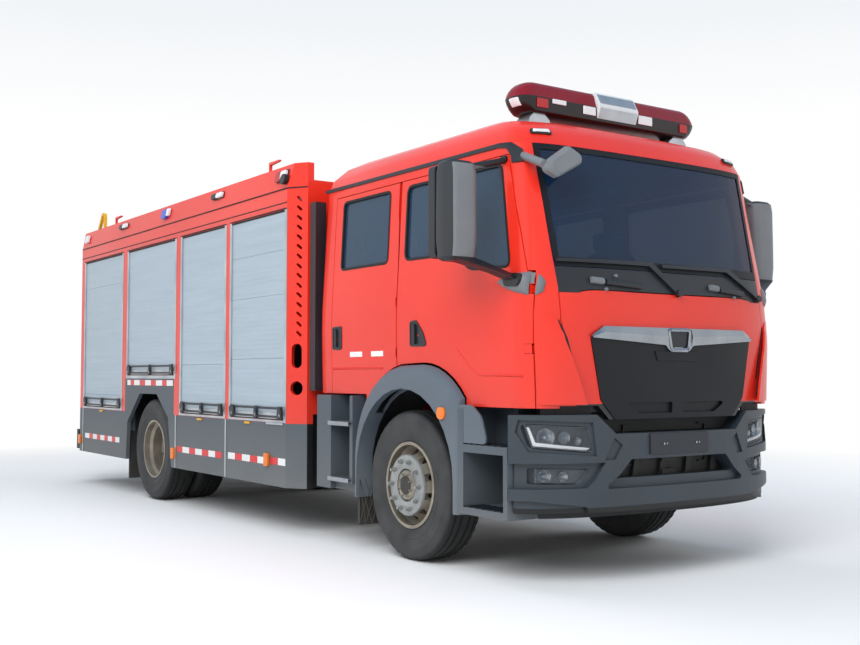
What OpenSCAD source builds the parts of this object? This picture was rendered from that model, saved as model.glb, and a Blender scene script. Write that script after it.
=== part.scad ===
// Compressed air foam fire truck: crew cab, equipment body with roller shutters, two axles.
// Millimetres. X points forward, Y to the truck's left, Z up from the ground; X = 0 is mid-length.

/* [Overall] */
// Length from the front bumper to the rear step
overall_length = 8580; // [8540:10:8640]
// From the front bumper to the front axle
front_overhang = 1480; // [1470:5:1500]
// Between the front and the rear axle
wheelbase = 4600; // [4580:10:4640]

/* [Wheels] */
// Radius of a tyre over its tread
tyre_r = 515; // [505:1:525]
// Width of a tyre at its widest
tyre_w = 298; // [285:1:305]
// Radius of the rim where the tyre sits
rim_r = 286; // [280:1:290]
// From the middle of the truck to the middle of a front tyre
front_track_half = 975; // [960:5:985]
// From the middle of the truck to the middle of the outer rear tyre
rear_outer_y = 1072; // [1060:2:1080]
// Between the middles of two twin tyres
twin_pitch = 335; // [325:1:340]
// From the middle of the truck to a kingpin
kingpin_y = 875; // [865:5:885]
// Radius of a wheel spindle
spindle_r = 40; // [35:1:45]
// Radius of a kingpin
kingpin_r = 22; // [20:1:25]
// Running clearance round a pin or spindle
pin_clear = 0.3; // [0.1:0.05:0.4]
// Hand holes in a rim
hand_holes = 10; // [8:1:10]

/* [Frame] */
// Height of the top of the frame rails
rail_top = 960; // [950:5:965]
// Depth of a frame rail
rail_h = 260; // [240:5:265]
// From the middle of the truck to the outer face of a rail
rail_y = 381; // [375:1:400]
// Flange width of a rail
rail_flange = 70; // [60:1:75]
// Sheet thickness of a rail
rail_t = 10; // [8:1:12]
// Radius of the towing pin holes
tow_hole_r = 20; // [18:1:22]

/* [Cab] */
// Width of the cab across the doors
cab_w = 2240; // [2220:5:2250]
// From the front axle back to the cab's rear wall
cab_back = 1260; // [1240:5:1280]
// Thickness of the cab's walls and doors
cab_wall = 60; // [50:1:65]
// Gap round a door
door_gap = 6; // [5:0.5:8]
// Height of the roof joint
roof_split = 2715; // [2705:5:2725]
// Height of the cab floor's top
cab_floor_z = 1190; // [1180:2:1200]
// From the front axle forward to the front door's hinges
front_hinge = 1262; // [1250:2:1270]
// From the front axle back to the rear door's hinges
rear_hinge = 170; // [160:2:190]
// From the front axle back to the rear edge of the rear door
rear_door_end = 1060; // [1040:5:1080]
// Radius of a door hinge pin
hinge_r = 9; // [8:0.5:10]

/* [Body] */
// Width of the equipment body
body_w = 2500; // [2490:5:2520]
// Gap between the cab and the body
cab_body_gap = 150; // [140:5:170]
// Thickness of the body's walls
body_wall = 40; // [36:1:45]
// Height of the skirts' lower edge
skirt_z = 370; // [350:5:390]
// Height of the joint between the grey skirt and the red wall
split_z = 883; // [875:1:890]
// Height of the top of the shutter openings
shutter_top = 2614; // [2600:2:2630]
// Height of the line where the parapet starts
parapet_z = 2786; // [2776:2:2796]
// Height of the top of the parapet
body_top = 2985; // [2965:5:3005]
// How far the parapet leans in
parapet_lean = 36; // [25:1:45]
// Thickness of a roller shutter
shutter_t = 25; // [20:1:28]

/* [Hidden] */
$fn = 48;
fxl = overall_length / 2 - front_overhang;
rxl = fxl - wheelbase;
axle_z = tyre_r;
cab_rear = fxl - cab_back;
body_front = cab_rear - cab_body_gap;
body_rear = -overall_length / 2 + 175;
body_len = body_front - body_rear;
body_half = body_w / 2;
bend = 157;
corner_in = 105;
rail_bottom = rail_top - rail_h;
body_floor_t = 50;
body_floor_top = rail_top + body_floor_t;
tank_size = [1500, 1500, 1350];
cab_low = 1000;
screen_low = 1931;
flap_low = 965;
flap_axis = [fxl + 1412, 1772];
flap_hinge_y = 350;
flap_half = 924;
flap_side_low = 1086;
flap_t = 40;
pillar_in = 930;
pillar_top = 962;
hinge_edge = 30;
fd_axis = [fxl + front_hinge, cab_w / 2 - 52];
rd_axis = [fxl - rear_hinge, cab_w / 2 - 14];
rd_edge = 22;
door_low_front = 1072;
door_low_rear = 1134;
door_top = 2642;
arch_out_y = 1170;
arch_r = 602;
arch_z = 578;
arch_in_y = 720;
arch_leg = [-658, 200 + 586 * cos(38)];
bumper_half = 1215;
bumper_top = 1032;
bumper_t = 110;
tow_x = 1330;
tow_rear = 48;
rear_arch = [-710, 610];
arch_room = 520;
end_half = body_half - 160;
wall_cut = body_half - body_wall - 15;
rear_bay = [-0.24 * body_w, 0.4 * body_w];
rear_bay_z = 1100;
bar_z = 2998;
bar_base = 100;
bar_half = 830;
bar_top = 3245;
bar_mid = 210;

// Shutter bays: front edge from the rear axle, width, height of the sill
bays = [
  [3001, 1031, 907],
  [1832, 1007, 907],
  [653, 1340, 1271],
  [-882, rxl - 882 - 150 - body_rear, 907]
];
BAY_X = 0;
BAY_W = 1;
BAY_Z = 2;

// Sections of the cab: height, cut from the half width, cut from the rear, nose ahead of the axle, depth of the round
// front, share of the wall thickness that the height loses inside
cab_rows = [
  [cab_low, 14, 0, 1440, 310, 0],
  [1480, 2, 0, 1452, 310, 0],
  [1640, 0, 0, 1446, 300, 0],
  [1800, 3, 0, 1424, 280, 0],
  [2715, 52, 10, 1226, 200, 0],
  [2800, 74, 52, 1186, 205, 0],
  [2880, 140, 150, 1096, 230, 1],
  [2930, 235, 290, 950, 280, 1],
  [2955, 400, 470, 700, 330, 1]
];
ROW_Z = 0;
ROW_SIDE = 1;
ROW_REAR = 2;
ROW_NOSE = 3;
ROW_ROUND = 4;
ROW_DROP = 5;

// Lamps on the parapet: place along the body from its front, half length, low edge, high edge
parapet_lamps = [
  [0.047, 85, 2850, 2944],
  [0.280, 125, 2886, 2938],
  [0.510, 90, 2850, 2944],
  [0.740, 118, 2886, 2938],
  [0.968, 60, 2850, 2940]
];
LAMP_AT = 0;
LAMP_HALF = 1;
LAMP_Z0 = 2;
LAMP_Z1 = 3;

// Wipers: places across the screen of the pivot, the bend and the tip
wiper_places = [
  [30, -186, -925],
  [880, 556, -85]
];
WIPER_PIVOT = 0;
WIPER_BEND = 1;
WIPER_TIP = 2;

function fx(v) = fxl + v;

// Edge of the windscreen pillar at height z
function pillar(z) = pillar_in + (pillar_top - pillar_in) * (z - 1800) / (roof_split - 1800);

function arc(c, r, a0, a1, n) =
  [for (i = [0 : n]) [c[0] + r * cos(a0 + (a1 - a0) * i / n), c[1] + r * sin(a0 + (a1 - a0) * i / n)]];

// A rounded nose outline: half width, x of the front, depth of the round part, exponent, steps
function nose(w, xn, d, e, n) =
  [for (i = [0 : n])
    [xn - d + d * pow(cos(90 * i / n), 2 / e), w * pow(sin(90 * i / n), 2 / e)]];

// A closed plan outline with a rounded nose and rounded rear corners
function plan(w, xb, xn, d, e, n, rb) =
  let (half = concat(nose(w, xn, d, e, n), arc([xb + rb, w - rb], rb, 90, 180, 3)))
  concat(half, [for (i = [len(half) - 1 : -1 : 1]) [half[i][0], -half[i][1]]]);

// A polygon with its corners rounded: points as x, y, radius
function rounded(ps, n) =
  [for (i = [0 : len(ps) - 1])
    let (
      p = [ps[i][0], ps[i][1]],
      a0 = ps[(i + len(ps) - 1) % len(ps)],
      b0 = ps[(i + 1) % len(ps)],
      ua = ([a0[0], a0[1]] - p) / norm([a0[0], a0[1]] - p),
      ub = ([b0[0], b0[1]] - p) / norm([b0[0], b0[1]] - p),
      half = acos(max(-1, min(1, ua * ub))) / 2,
      r = ps[i][2],
      q = r / tan(half),
      m = (ua + ub) / norm(ua + ub),
      c = p + m * r / sin(half),
      s = p + ua * q - c,
      t0 = atan2(s[1], s[0]),
      e = p + ub * q - c,
      dt = ((atan2(e[1], e[0]) - t0 + 540) % 360) - 180
    )
    for (k = [0 : r > 0 ? n : 0])
      r > 0 ? c + r * [cos(t0 + dt * k / n), sin(t0 + dt * k / n)] : p];

// A solid through rings of points, lowest ring first
module loft(rings) {
  n = len(rings[0]);
  polyhedron(
    points = [for (r = rings) for (p = r) p],
    faces = concat(
      [[for (i = [0 : n - 1]) i]],
      [for (k = [0 : len(rings) - 2]) for (i = [0 : n - 1])
        [k * n + i, (k + 1) * n + i, (k + 1) * n + (i + 1) % n]],
      [for (k = [0 : len(rings) - 2]) for (i = [0 : n - 1])
        [k * n + i, (k + 1) * n + (i + 1) % n, k * n + (i + 1) % n]],
      [[for (i = [n - 1 : -1 : 0]) (len(rings) - 1) * n + i]]
    )
  );
}

// A prism with its outline in the side view (x, z) between two y values
module side_prism(ps, y0, y1) {
  translate([0, y1, 0])
    rotate([90, 0, 0])
      linear_extrude(y1 - y0)
        polygon(ps);
}

// A prism with its outline in the front view (y, z) between two x values
module front_prism(ps, x0, x1) {
  translate([x0, 0, 0])
    rotate([90, 0, 90])
      linear_extrude(x1 - x0)
        polygon(ps);
}

// A box between two corners
module block(a, b) {
  translate(a)
    cube(b - a);
}

// A cylinder along Y
module rod_y(x, z, y0, y1, r) {
  translate([x, y1, z])
    rotate([90, 0, 0])
      cylinder(r = r, h = y1 - y0);
}

// A cylinder along X
module rod_x(y, z, x0, x1, r) {
  translate([x0, y, z])
    rotate([0, 90, 0])
      cylinder(r = r, h = x1 - x0);
}

// A round bar from point a to point b
module strut(a, b, r) {
  d = b - a;
  translate(a)
    rotate([0, acos(d[2] / norm(d)), atan2(d[1], d[0])])
      cylinder(r = r, h = norm(d));
}

module both_sides() {
  children();
  mirror([0, 1, 0])
    children();
}

// A piece drawn for the right side, turned to side s: -1 right, 1 left
module on_side(s) {
  if (s < 0)
    children();
  else
    mirror([0, 1, 0])
      children();
}

module cab_form(t) {
  loft([for (r = cab_rows)
    let (z = r[ROW_Z] - (r[ROW_Z] == cab_low && t > 0 ? 20 : 0) - t * r[ROW_DROP])
    [for (p = plan(
      cab_w / 2 - r[ROW_SIDE] - t,
      cab_rear + r[ROW_REAR] + t,
      fx(r[ROW_NOSE]) - t,
      r[ROW_ROUND],
      3.1, 10, 60))
      [p[0], p[1], z]]]);
}

// The cab's wall from depth a to depth b, inside the children's region
module cab_skin(a, b) {
  difference() {
    intersection() {
      cab_form(a);
      children();
    }
    cab_form(b);
  }
}

module body_form(t) {
  hw = body_w / 2 - t;
  lean = hw - parapet_lean;
  intersection() {
    translate([0, 0, skirt_z - 10])
      linear_extrude(body_top - skirt_z + 20)
        polygon([
          [body_rear + t, -hw],
          [body_front - bend - t * 0.3, -hw],
          [body_front - t, -hw + corner_in],
          [body_front - t, hw - corner_in],
          [body_front - bend - t * 0.3, hw],
          [body_rear + t, hw]
        ]);
    front_prism([
      [-hw, skirt_z - (t > 0 ? 20 : 0)],
      [hw, skirt_z - (t > 0 ? 20 : 0)],
      [hw, parapet_z],
      [lean, body_top + (t > 0 ? 20 : 0)],
      [-lean, body_top + (t > 0 ? 20 : 0)],
      [-hw, parapet_z]
    ], body_rear - 10, body_front + 10);
  }
}

module body_skin() {
  difference() {
    intersection() {
      body_form(0);
      children();
    }
    body_form(body_wall);
  }
}

// Outline of the front arch flare in the side view, grown by g
function flare(g) = concat(
  [[fx(arch_leg[0]) - g, 380]],
  arc([fx(20), 668], 678 + g, 180, 98, 8),
  arc([fx(200), 760], 586 + g, 90, 38, 6),
  [[fx(200) + (586 + g) * cos(38), 380]]
);

// Outline of the front arch opening, grown by g
function opening(g) = concat(
  [[fx(-arch_r - g), 300]],
  arc([fx(0), arch_z], arch_r + g, 180, 0, 16),
  [[fx(arch_r + g), 300]]
);

// Outline of a front door, grown by g
function front_door(g) = [
  [fd_axis[0] + g, cab_low - 60],
  [fd_axis[0] + g, 1850],
  [fd_axis[0] - 205 + g, door_top + g],
  [rd_axis[0] + rd_edge + 2 * door_gap - g, door_top + g],
  [rd_axis[0] + rd_edge + 2 * door_gap - g, cab_low - 60]
];

// Outline of a rear door, grown by g
function rear_door(g) = [
  [rd_axis[0], cab_low - 60],
  [rd_axis[0], door_top + g],
  [fx(-rear_door_end) - g, door_top + g],
  [fx(-rear_door_end) - g, cab_low - 60]
];

module door_hinges(axis) {
  for (z = [1430, 1790])
    translate([axis[0], -axis[1], z - 70])
      cylinder(r = hinge_r, h = 140);
}

module hinge_room(axis) {
  for (z = [1430, 1790]) {
    translate([axis[0], -axis[1], z - 75])
      cylinder(r = hinge_r + pin_clear, h = 150);
    translate([axis[0], -axis[1], z - 30])
      cylinder(r = 36, h = 60);
    block([axis[0] - 40, -axis[1], z - 30], [axis[0] + 40, -axis[1] + 90, z + 30]);
  }
}

// Everything under the doors: flare, arch and the low edges
module door_underside() {
  side_prism(flare(12), -1300, -900);
  block([fx(640), -1300, 900], [fx(1600), -900, door_low_front]);
  block([fx(-1400), -1300, 900], [fx(-560), -900, door_low_rear]);
}

function front_window() = rounded([
  [fx(-62), 2076, 50],
  [fx(560), 2066, 60],
  [fx(700), 1950, 60],
  [fx(1122), 1936, 45],
  [fx(1000), 2594, 60],
  [fx(-62), 2600, 60]
], 5);

function rear_window() = rounded([
  [fx(-950), 2076, 50],
  [fx(-285), 2076, 50],
  [fx(-285), 2600, 60],
  [fx(-950), 2600, 60]
], 5);

module front_door_blank() {
  cab_skin(0, cab_wall)
    difference() {
      union() {
        side_prism(front_door(0), -1400, -700);
        translate([fd_axis[0], -fd_axis[1], cab_low - 60])
          cylinder(r = hinge_edge, h = 1900 - cab_low);
      }
      door_underside();
    }
}

module rear_door_blank() {
  cab_skin(0, cab_wall)
    difference() {
      union() {
        side_prism(rear_door(0), -1400, -700);
        translate([rd_axis[0], -rd_axis[1], cab_low - 60])
          cylinder(r = rd_edge, h = door_top - cab_low + 60);
      }
      door_underside();
    }
}

module front_door_piece() {
  difference() {
    front_door_blank();
    side_prism(front_window(), -1400, -700);
    hinge_room(fd_axis);
  }
}

module rear_door_piece() {
  difference() {
    rear_door_blank();
    side_prism(rear_window(), -1400, -700);
    hinge_room(rd_axis);
  }
}

module pane(ps) {
  cab_skin(14, 20)
    side_prism(ps, -1400, -700);
}

module door_front_right() {
  color("red")
    front_door_piece();
}

module door_front_left() {
  color("red")
    on_side(1)
      front_door_piece();
}

module door_rear_right() {
  color("red")
    rear_door_piece();
}

module door_rear_left() {
  color("red")
    on_side(1)
      rear_door_piece();
}

module glass_front_right() {
  color("slategray")
    pane(front_window());
}

module glass_front_left() {
  color("slategray")
    on_side(1)
      pane(front_window());
}

module glass_rear_right() {
  color("slategray")
    pane(rear_window());
}

module glass_rear_left() {
  color("slategray")
    on_side(1)
      pane(rear_window());
}

// Side frame: header rail, corner panel with the screen pillar, rear post and the inner post between the doors
module cab_side_piece() {
  difference() {
    union() {
      cab_skin(0, cab_wall)
        difference() {
          union() {
            front_prism([
              [-1300, cab_low - 60],
              [-pillar_in, cab_low - 60],
              [-pillar_in, 1800],
              [-pillar_top, roof_split],
              [-1300, roof_split]
            ], cab_rear - 10, fx(1500));
            block([fx(1200), -1000, flap_side_low], [fx(1500), -700, 1600]);
          }
          front_prism(flap_outline(door_gap), fx(1000), fx(1500));
        }
      cab_skin(cab_wall - 5, cab_wall + 50)
        block([cab_rear + 400, -1300, door_top + door_gap], [fx(980), -900, roof_split]);
      cab_skin(cab_wall + 6, cab_wall + 50)
        block([rd_axis[0] - 40, -1300, cab_floor_z + 40], [rd_axis[0] + 70, -900, roof_split]);
    }
    cab_side_openings();
  }
  door_hinges(fd_axis);
  door_hinges(rd_axis);
  for (z = [1430, 1790]) {
    block([fd_axis[0], -fd_axis[1] - 8, z - 25], [fd_axis[0] + 16, -fd_axis[1] + 52, z + 25]);
    block([fd_axis[0] + 10, -fd_axis[1] + 26, z - 25], [fd_axis[0] + 46, -fd_axis[1] + 52, z + 25]);
    block([rd_axis[0] - 8, -rd_axis[1], z - 25], [rd_axis[0] + 8, -rd_axis[1] + 70, z + 25]);
  }
}

// What the doors leave free in the side frame
module cab_side_openings() {
  difference() {
    union() {
      side_prism(front_door(door_gap), -1400, -700);
      side_prism(rear_door(door_gap), -1400, -700);
      block([rd_axis[0] - 10, -1400, cab_low - 60], [rd_axis[0] + 80, -700, door_top + door_gap]);
    }
    cab_form(cab_wall + 5.9);
  }
  difference() {
    translate([fd_axis[0], -fd_axis[1], cab_low - 60])
      cylinder(r = hinge_edge + door_gap, h = 1965 - cab_low);
    block([fd_axis[0] - 100, -fd_axis[1] + 42, 0], [fd_axis[0] + 100, 0, 3000]);
  }
  block([fx(640), -1300, 900], [fx(1600), -700, door_low_front]);
  block([fx(-1400), -1300, 900], [fx(-560), -700, door_low_rear]);
}

module cab_sides() {
  color("red")
    both_sides()
      cab_side_piece();
}

module cab_roof() {
  color("red")
    cab_skin(0, cab_wall)
      block([cab_rear - 10, -1300, roof_split], [fx(1500), 1300, 3000]);
}

module cab_rear_wall() {
  color("red")
    cab_skin(0, cab_wall)
      front_prism([
        [-pillar_in, door_low_rear],
        [pillar_in, door_low_rear],
        [pillar_in, 1800],
        [pillar_top, roof_split],
        [-pillar_top, roof_split],
        [-pillar_in, 1800]
      ], cab_rear - 10, fx(-900));
}

module cab_floor() {
  color("dimgray")
    difference() {
      intersection() {
        cab_form(cab_wall + 6);
        block([cab_rear - 10, -1200, cab_floor_z - 50], [fx(1290), 1200, cab_floor_z]);
      }
      difference() {
        block([fx(1000), -1200, 1000], [fx(1500), 1200, 1300]);
        cab_form(cab_wall + 30);
      }
      both_sides()
        block([fx(-665), -1300, 1000], [fx(672), -arch_in_y + 30, 1400]);
    }
}

// Front wall behind the flap, the band under the windscreen and the dash
module cab_front() {
  color("#25282e") {
    difference() {
      union() {
        cab_skin(flap_t + 8, flap_t + 40)
          block([fx(900), -810, flap_low + 80], [fx(1500), 810, 1800]);
        cab_skin(cab_wall + 1, cab_wall + 30)
          block([fx(900), -pillar_in, flap_low + 80], [fx(1500), pillar_in, 1800]);
        cab_skin(0, cab_wall)
          front_prism([
            [-pillar_in, flap_axis[1]],
            [pillar_in, flap_axis[1]],
            [pillar_in, 1800],
            [pillar(screen_low), screen_low],
            [-pillar(screen_low), screen_low],
            [-pillar_in, 1800]
          ], fx(900), fx(1500));
        dash();
      }
      rod_y(flap_axis[0], flap_axis[1], -pillar_in - 5, pillar_in + 5, 26);
      block([flap_axis[0] - 20, -pillar_in - 5, 1500], [fx(1500), pillar_in + 5, flap_axis[1]]);
    }
    for (y = [-flap_hinge_y, flap_hinge_y]) {
      block([flap_axis[0] - 80, y - 20, flap_axis[1] - 8], [flap_axis[0], y + 20, flap_axis[1] + 8]);
      rod_y(flap_axis[0], flap_axis[1], y - 60, y + 60, 7);
    }
  }
}

function dash_outline() = [
  [fx(1500), 1560],
  [fx(1010), 1560],
  [fx(960), 1640],
  [fx(960), 1800],
  [fx(1030), 1900],
  [fx(1500), 1930]
];

module dash() {
  intersection() {
    cab_form(cab_wall + 0.5);
    side_prism(dash_outline(), -pillar_in + 0.5, pillar_in - 0.5);
  }
}

module windscreen() {
  color("slategray")
    cab_skin(3, 11)
      front_prism([
        [-pillar(screen_low) + 0.3, screen_low + 0.3],
        [pillar(screen_low) - 0.3, screen_low + 0.3],
        [pillar_top - 0.3, roof_split - 0.3],
        [-pillar_top + 0.3, roof_split - 0.3]
      ], fx(900), fx(1500));
}

// Outline of the front flap in the front view, grown by g
function flap_outline(g) =
  let (half = [
    [flap_half + g, flap_axis[1]],
    [flap_half + g, 1600],
    [826 + g, 1240],
    [815 + g, flap_side_low - g],
    [668, flap_side_low - g],
    [545 + g, flap_low - g]
  ])
  concat(half, [for (i = [len(half) - 1 : -1 : 0]) [-half[i][0], half[i][1]]]);

// Front flap: swings up about its top edge
module front_flap() {
  color("red")
    difference() {
      union() {
        cab_skin(0, flap_t)
          front_prism(flap_outline(0), fx(900), fx(1500));
        cab_skin(0, flap_t)
          rod_y(flap_axis[0], flap_axis[1], -flap_half, flap_half, 20);
      }
      for (y = [-flap_hinge_y, flap_hinge_y]) {
        rod_y(flap_axis[0], flap_axis[1], y - 65, y + 65, 7 + pin_clear);
        block([flap_axis[0] - 90, y - 26, flap_axis[1] - 45], [flap_axis[0] + 9, y + 26, flap_axis[1] + 30]);
      }
      grille_seat(0);
    }
}

// Outline of the grille in the front view, grown by g
function grille_outline(g) = rounded([
  [-733 - g, 1516 + g, 20],
  [-652 - g, 1120, 50],
  [-522, 980 - g, 30],
  [522, 980 - g, 30],
  [652 + g, 1120, 50],
  [733 + g, 1516 + g, 20]
], 4);

module grille_seat(g) {
  difference() {
    union() {
      front_prism(grille_outline(g), fx(1000), fx(1500));
      front_prism(bar_face(g), fx(1000), fx(1500));
    }
    cab_form(18);
  }
}

// Outline of the bright bar over the grille, dipping round the blank badge
function bar_face(g) =
  let (half = [
    [640 + g, 1572 + g],
    [736 + g, 1512],
    [722, 1500 - g],
    [320, 1474 - g],
    [128, 1462 - g],
    [96, 1432 - g],
    [70, 1420 - g]
  ])
  concat(half, [for (i = [len(half) - 1 : -1 : 0]) [-half[i][0], half[i][1]]]);

module grille() {
  color("#262a33")
    difference() {
      intersection() {
        cab_form(-8);
        front_prism(grille_outline(-0.3), fx(1000), fx(1500));
      }
      cab_form(18);
      front_prism(bar_face(0.3), fx(1000), fx(1500));
      both_sides()
        front_prism(rounded([
          [-470, 1102, 12],
          [-50, 1102, 8],
          [-50, 1034, 8],
          [-345, 1034, 30]
        ], 3), fx(1000), fx(1500));
    }
}

module grille_bar() {
  color("silver")
    difference() {
      intersection() {
        cab_form(-22);
        front_prism(bar_face(-0.3), fx(1000), fx(1500));
      }
      cab_form(18);
      difference() {
        front_prism(rounded([
          [-92, 1552, 18],
          [-70, 1444, 24],
          [70, 1444, 24],
          [92, 1552, 18]
        ], 3), fx(1000), fx(1500));
        cab_form(-8);
      }
    }
}

module bumper_plan(t) {
  translate([0, 0, 400])
    linear_extrude(650)
      polygon(plan(bumper_half - t, fx(900), fx(front_overhang) - t, 500, 2.6, 12, 10));
}

// A cut into the bumper from its face to depth d, inside an outline in the front view
module bumper_cut(ps, d) {
  difference() {
    front_prism(ps, fx(900), fx(1500));
    bumper_plan(d);
  }
}

module bumper() {
  color("#545f6a")
    difference() {
      intersection() {
        bumper_plan(0);
        block([fx(1172), -1300, 440], [fx(1500), 1300, bumper_top]);
      }
      bumper_plan(bumper_t);
      front_prism([[-700, bumper_top + 10], [-551, 913], [551, 913], [700, bumper_top + 10]], fx(900), fx(1500));
      front_prism(rounded([
        [-548, 640, 10],
        [548, 640, 10],
        [432, 755, 25],
        [-432, 755, 25]
      ], 3), fx(900), fx(1500));
      bumper_cut(rounded([
        [-648, 580, 15],
        [648, 580, 15],
        [520, 665, 15],
        [-520, 665, 15]
      ], 3), 34);
      both_sides() {
        bumper_cut([[-1139, 1003], [-1150, 930], [-1095, 812], [-690, 780], [-715, 985]], 16);
        front_prism(lamp_outline(0), fx(900), fx(1500));
        bumper_cut([[-1400, 741], [-626, 741], [-700, 640], [-760, 590], [-1400, 590]], 30);
        bumper_cut(rounded([
          [-1075, 618, 12],
          [-806, 612, 30],
          [-697, 704, 12],
          [-1075, 716, 12]
        ], 3), 62);
        bumper_cut([[-632, 756], [-562, 890], [-500, 843], [-556, 756]], 14);
        bumper_cut([[-1400, 430], [-742, 430], [-760, 478], [-1090, 520], [-1400, 520]], 26);
      }
    }
}

// Outline of a headlamp in the front view, right side
function lamp_outline(g) = rounded([
  [-1122 + g, 982 - g, 25],
  [-1082 + g, 832 + g, 50],
  [-702 - g, 797 + g, 20],
  [-738 - g, 959 - g, 20]
], 4);

module head_lamps() {
  color("white")
    both_sides()
      difference() {
        intersection() {
          bumper_plan(20);
          front_prism(lamp_outline(0.3), fx(1172), fx(1500));
        }
        bumper_plan(100);
      }
}

// Arch flare with a rounded shoulder, its inner liner and two stays to the frame
module arch_piece() {
  difference() {
    union() {
      difference() {
        mirror([0, 1, 0])
          rotate([90, 0, 0])
            loft([for (r = [[1010, 0], [1112, 0], [1142, -8], [1162, -24], [arch_out_y, -42]])
              [for (q = flare(r[1])) [q[0], q[1], -r[0]]]]);
        cab_form(-6);
      }
      side_prism(concat(
        [[fx(-arch_r - 24), 520]],
        arc([fx(0), arch_z + 8], arch_r + 24, 180, 0, 16),
        [[fx(arch_r + 24), 520]]
      ), -1036, -arch_in_y);
      for (x = [-606, 606])
        rod_y(fx(x), 740, -arch_in_y - 40, -rail_y, 14);
    }
    side_prism(opening(0), -arch_out_y - 10, -arch_in_y + 10);
  }
}

module wheel_arches() {
  color("#5a646e")
    both_sides()
      arch_piece();
}

// Entry steps ahead of the front wheel and crew steps behind it
module step_piece() {
  difference() {
    block([fx(arch_leg[1]), -arch_out_y, 395], [fx(1160), -760, 1060]);
    block([fx(715), -1300, 440], [fx(1120), -850, 785]);
    block([fx(715), -1300, 835], [fx(1200), -905, 1100]);
    block([fx(945), -1300, 1022], [fx(1200), -700, 1100]);
    block([fx(700), -arch_out_y + 60, 0], [fx(1110), -700, 415]);
  }
  difference() {
    block([fx(-1195), -arch_out_y, 415], [fx(arch_leg[0]), -760, 1120]);
    block([fx(-978), -1300, 505], [fx(-700), -850, 890]);
    block([fx(-978), -1300, 922], [fx(-700), -930, 1200]);
    block([fx(-978), -1300, 300], [fx(-640), -1130, 470]);
  }
}

module entry_steps() {
  color("#4d565f")
    both_sides()
      step_piece();
}

module wipers() {
  color("#1c1e21")
    for (w = wiper_places) {
      cab_skin(-5, -0.3)
        front_prism([
          [w[WIPER_PIVOT] - 30, 1795],
          [w[WIPER_PIVOT] + 22, 1795],
          [w[WIPER_PIVOT] + 10, 1840],
          [w[WIPER_PIVOT] - 40, 1840]
        ], fx(900), fx(1500));
      cab_skin(-24, -4)
        front_prism([
          [w[WIPER_PIVOT] - 22, 1798],
          [w[WIPER_PIVOT] + 16, 1798],
          [w[WIPER_BEND] + 16, 1992],
          [w[WIPER_TIP], 1982],
          [w[WIPER_TIP], 1962],
          [w[WIPER_BEND] - 18, 1966]
        ], fx(900), fx(1500));
    }
}

module light_bar() {
  color("#2a2c30") {
    intersection() {
      block([fx(640), -bar_half, bar_z], [fx(980), bar_half, bar_z + bar_base]);
      translate([0, 0, bar_z - 10])
        linear_extrude(200)
          polygon(bar_outline(0));
    }
    for (y = [-620, 620])
      difference() {
        block([fx(740), y - 62, 2880], [fx(870), y + 62, bar_z]);
        cab_form(-0.3);
      }
  }
  color("silver")
    intersection() {
      bar_hood();
      block([fx(600), -bar_mid, bar_z + bar_base], [fx(1000), bar_mid, bar_z + 300]);
    }
}

function bar_outline(t) = rounded([
  [fx(670) + t, -bar_half + t, 70],
  [fx(910) - t, -bar_half + t, 100],
  [fx(910) - t, bar_half - t, 100],
  [fx(670) + t, bar_half - t, 70]
], 5);

module bar_hood() {
  intersection() {
    translate([0, 0, bar_z + bar_base])
      linear_extrude(200)
        polygon(bar_outline(4));
    side_prism(rounded([
      [fx(672), bar_z + bar_base, 0],
      [fx(908), bar_z + bar_base, 0],
      [fx(876), bar_top, 50],
      [fx(706), bar_top, 50]
    ], 5), -1000, 1000);
    front_prism(rounded([
      [-bar_half, bar_z + bar_base - 10, 0],
      [bar_half, bar_z + bar_base - 10, 0],
      [bar_half - 70, bar_top, 90],
      [70 - bar_half, bar_top, 90]
    ], 5), fx(600), fx(1000));
  }
}

module light_bar_lens() {
  color("darkred")
    intersection() {
      bar_hood();
      union() {
        block([fx(600), -1000, bar_z], [fx(1000), -bar_mid - 0.3, bar_z + 300]);
        block([fx(600), bar_mid + 0.3, bar_z], [fx(1000), 1000, bar_z + 300]);
      }
    }
}

// Mirror housing on a lower wedge arm and an upper bar, both seated on the door
module mirror_piece() {
  loft([for (r = [[1962, 0.72], [1978, 0.92], [2080, 1], [2220, 1], [2500, 0.98], [2556, 0.9], [2574, 0.7]])
    [for (p = rounded([
      [-64, -126, 30],
      [84, -112, 72],
      [84, 118, 60],
      [-64, 126, 30]
    ], 5))
      [fx(975) + p[0] * r[1], -1408 + p[1] * r[1], r[0]]]]);
  difference() {
    union() {
      loft([
        for (r = [[1180, -1105, 52, 30, 1842], [1120, -1200, 54, 44, 1895], [990, -1395, 60, 90, 1980]])
          [for (p = [[-1, -1], [1, -1], [1, 1], [-1, 1]])
            [fx(r[0]) + p[0] * r[2], r[1] + p[1] * r[3], r[4]]]
      ]);
      strut([fx(985), -1400, 2530], [fx(1030), -1040, 2618], 20);
      side_prism(rounded([
        [fx(1098), 1812, 34],
        [fx(1246), 1806, 40],
        [fx(1246), 1892, 34],
        [fx(1098), 1884, 30]
      ], 5), -1150, -1060);
      side_prism(rounded([
        [fx(1000), 2600, 10],
        [fx(1058), 2600, 10],
        [fx(1050), 2638, 10],
        [fx(1000), 2638, 10]
      ], 3), -1090, -1000);
    }
    cab_form(-0.3);
  }
}

module mirror_right() {
  color("#55585d")
    mirror_piece();
}

module mirror_left() {
  color("#55585d")
    on_side(1)
      mirror_piece();
}

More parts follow.
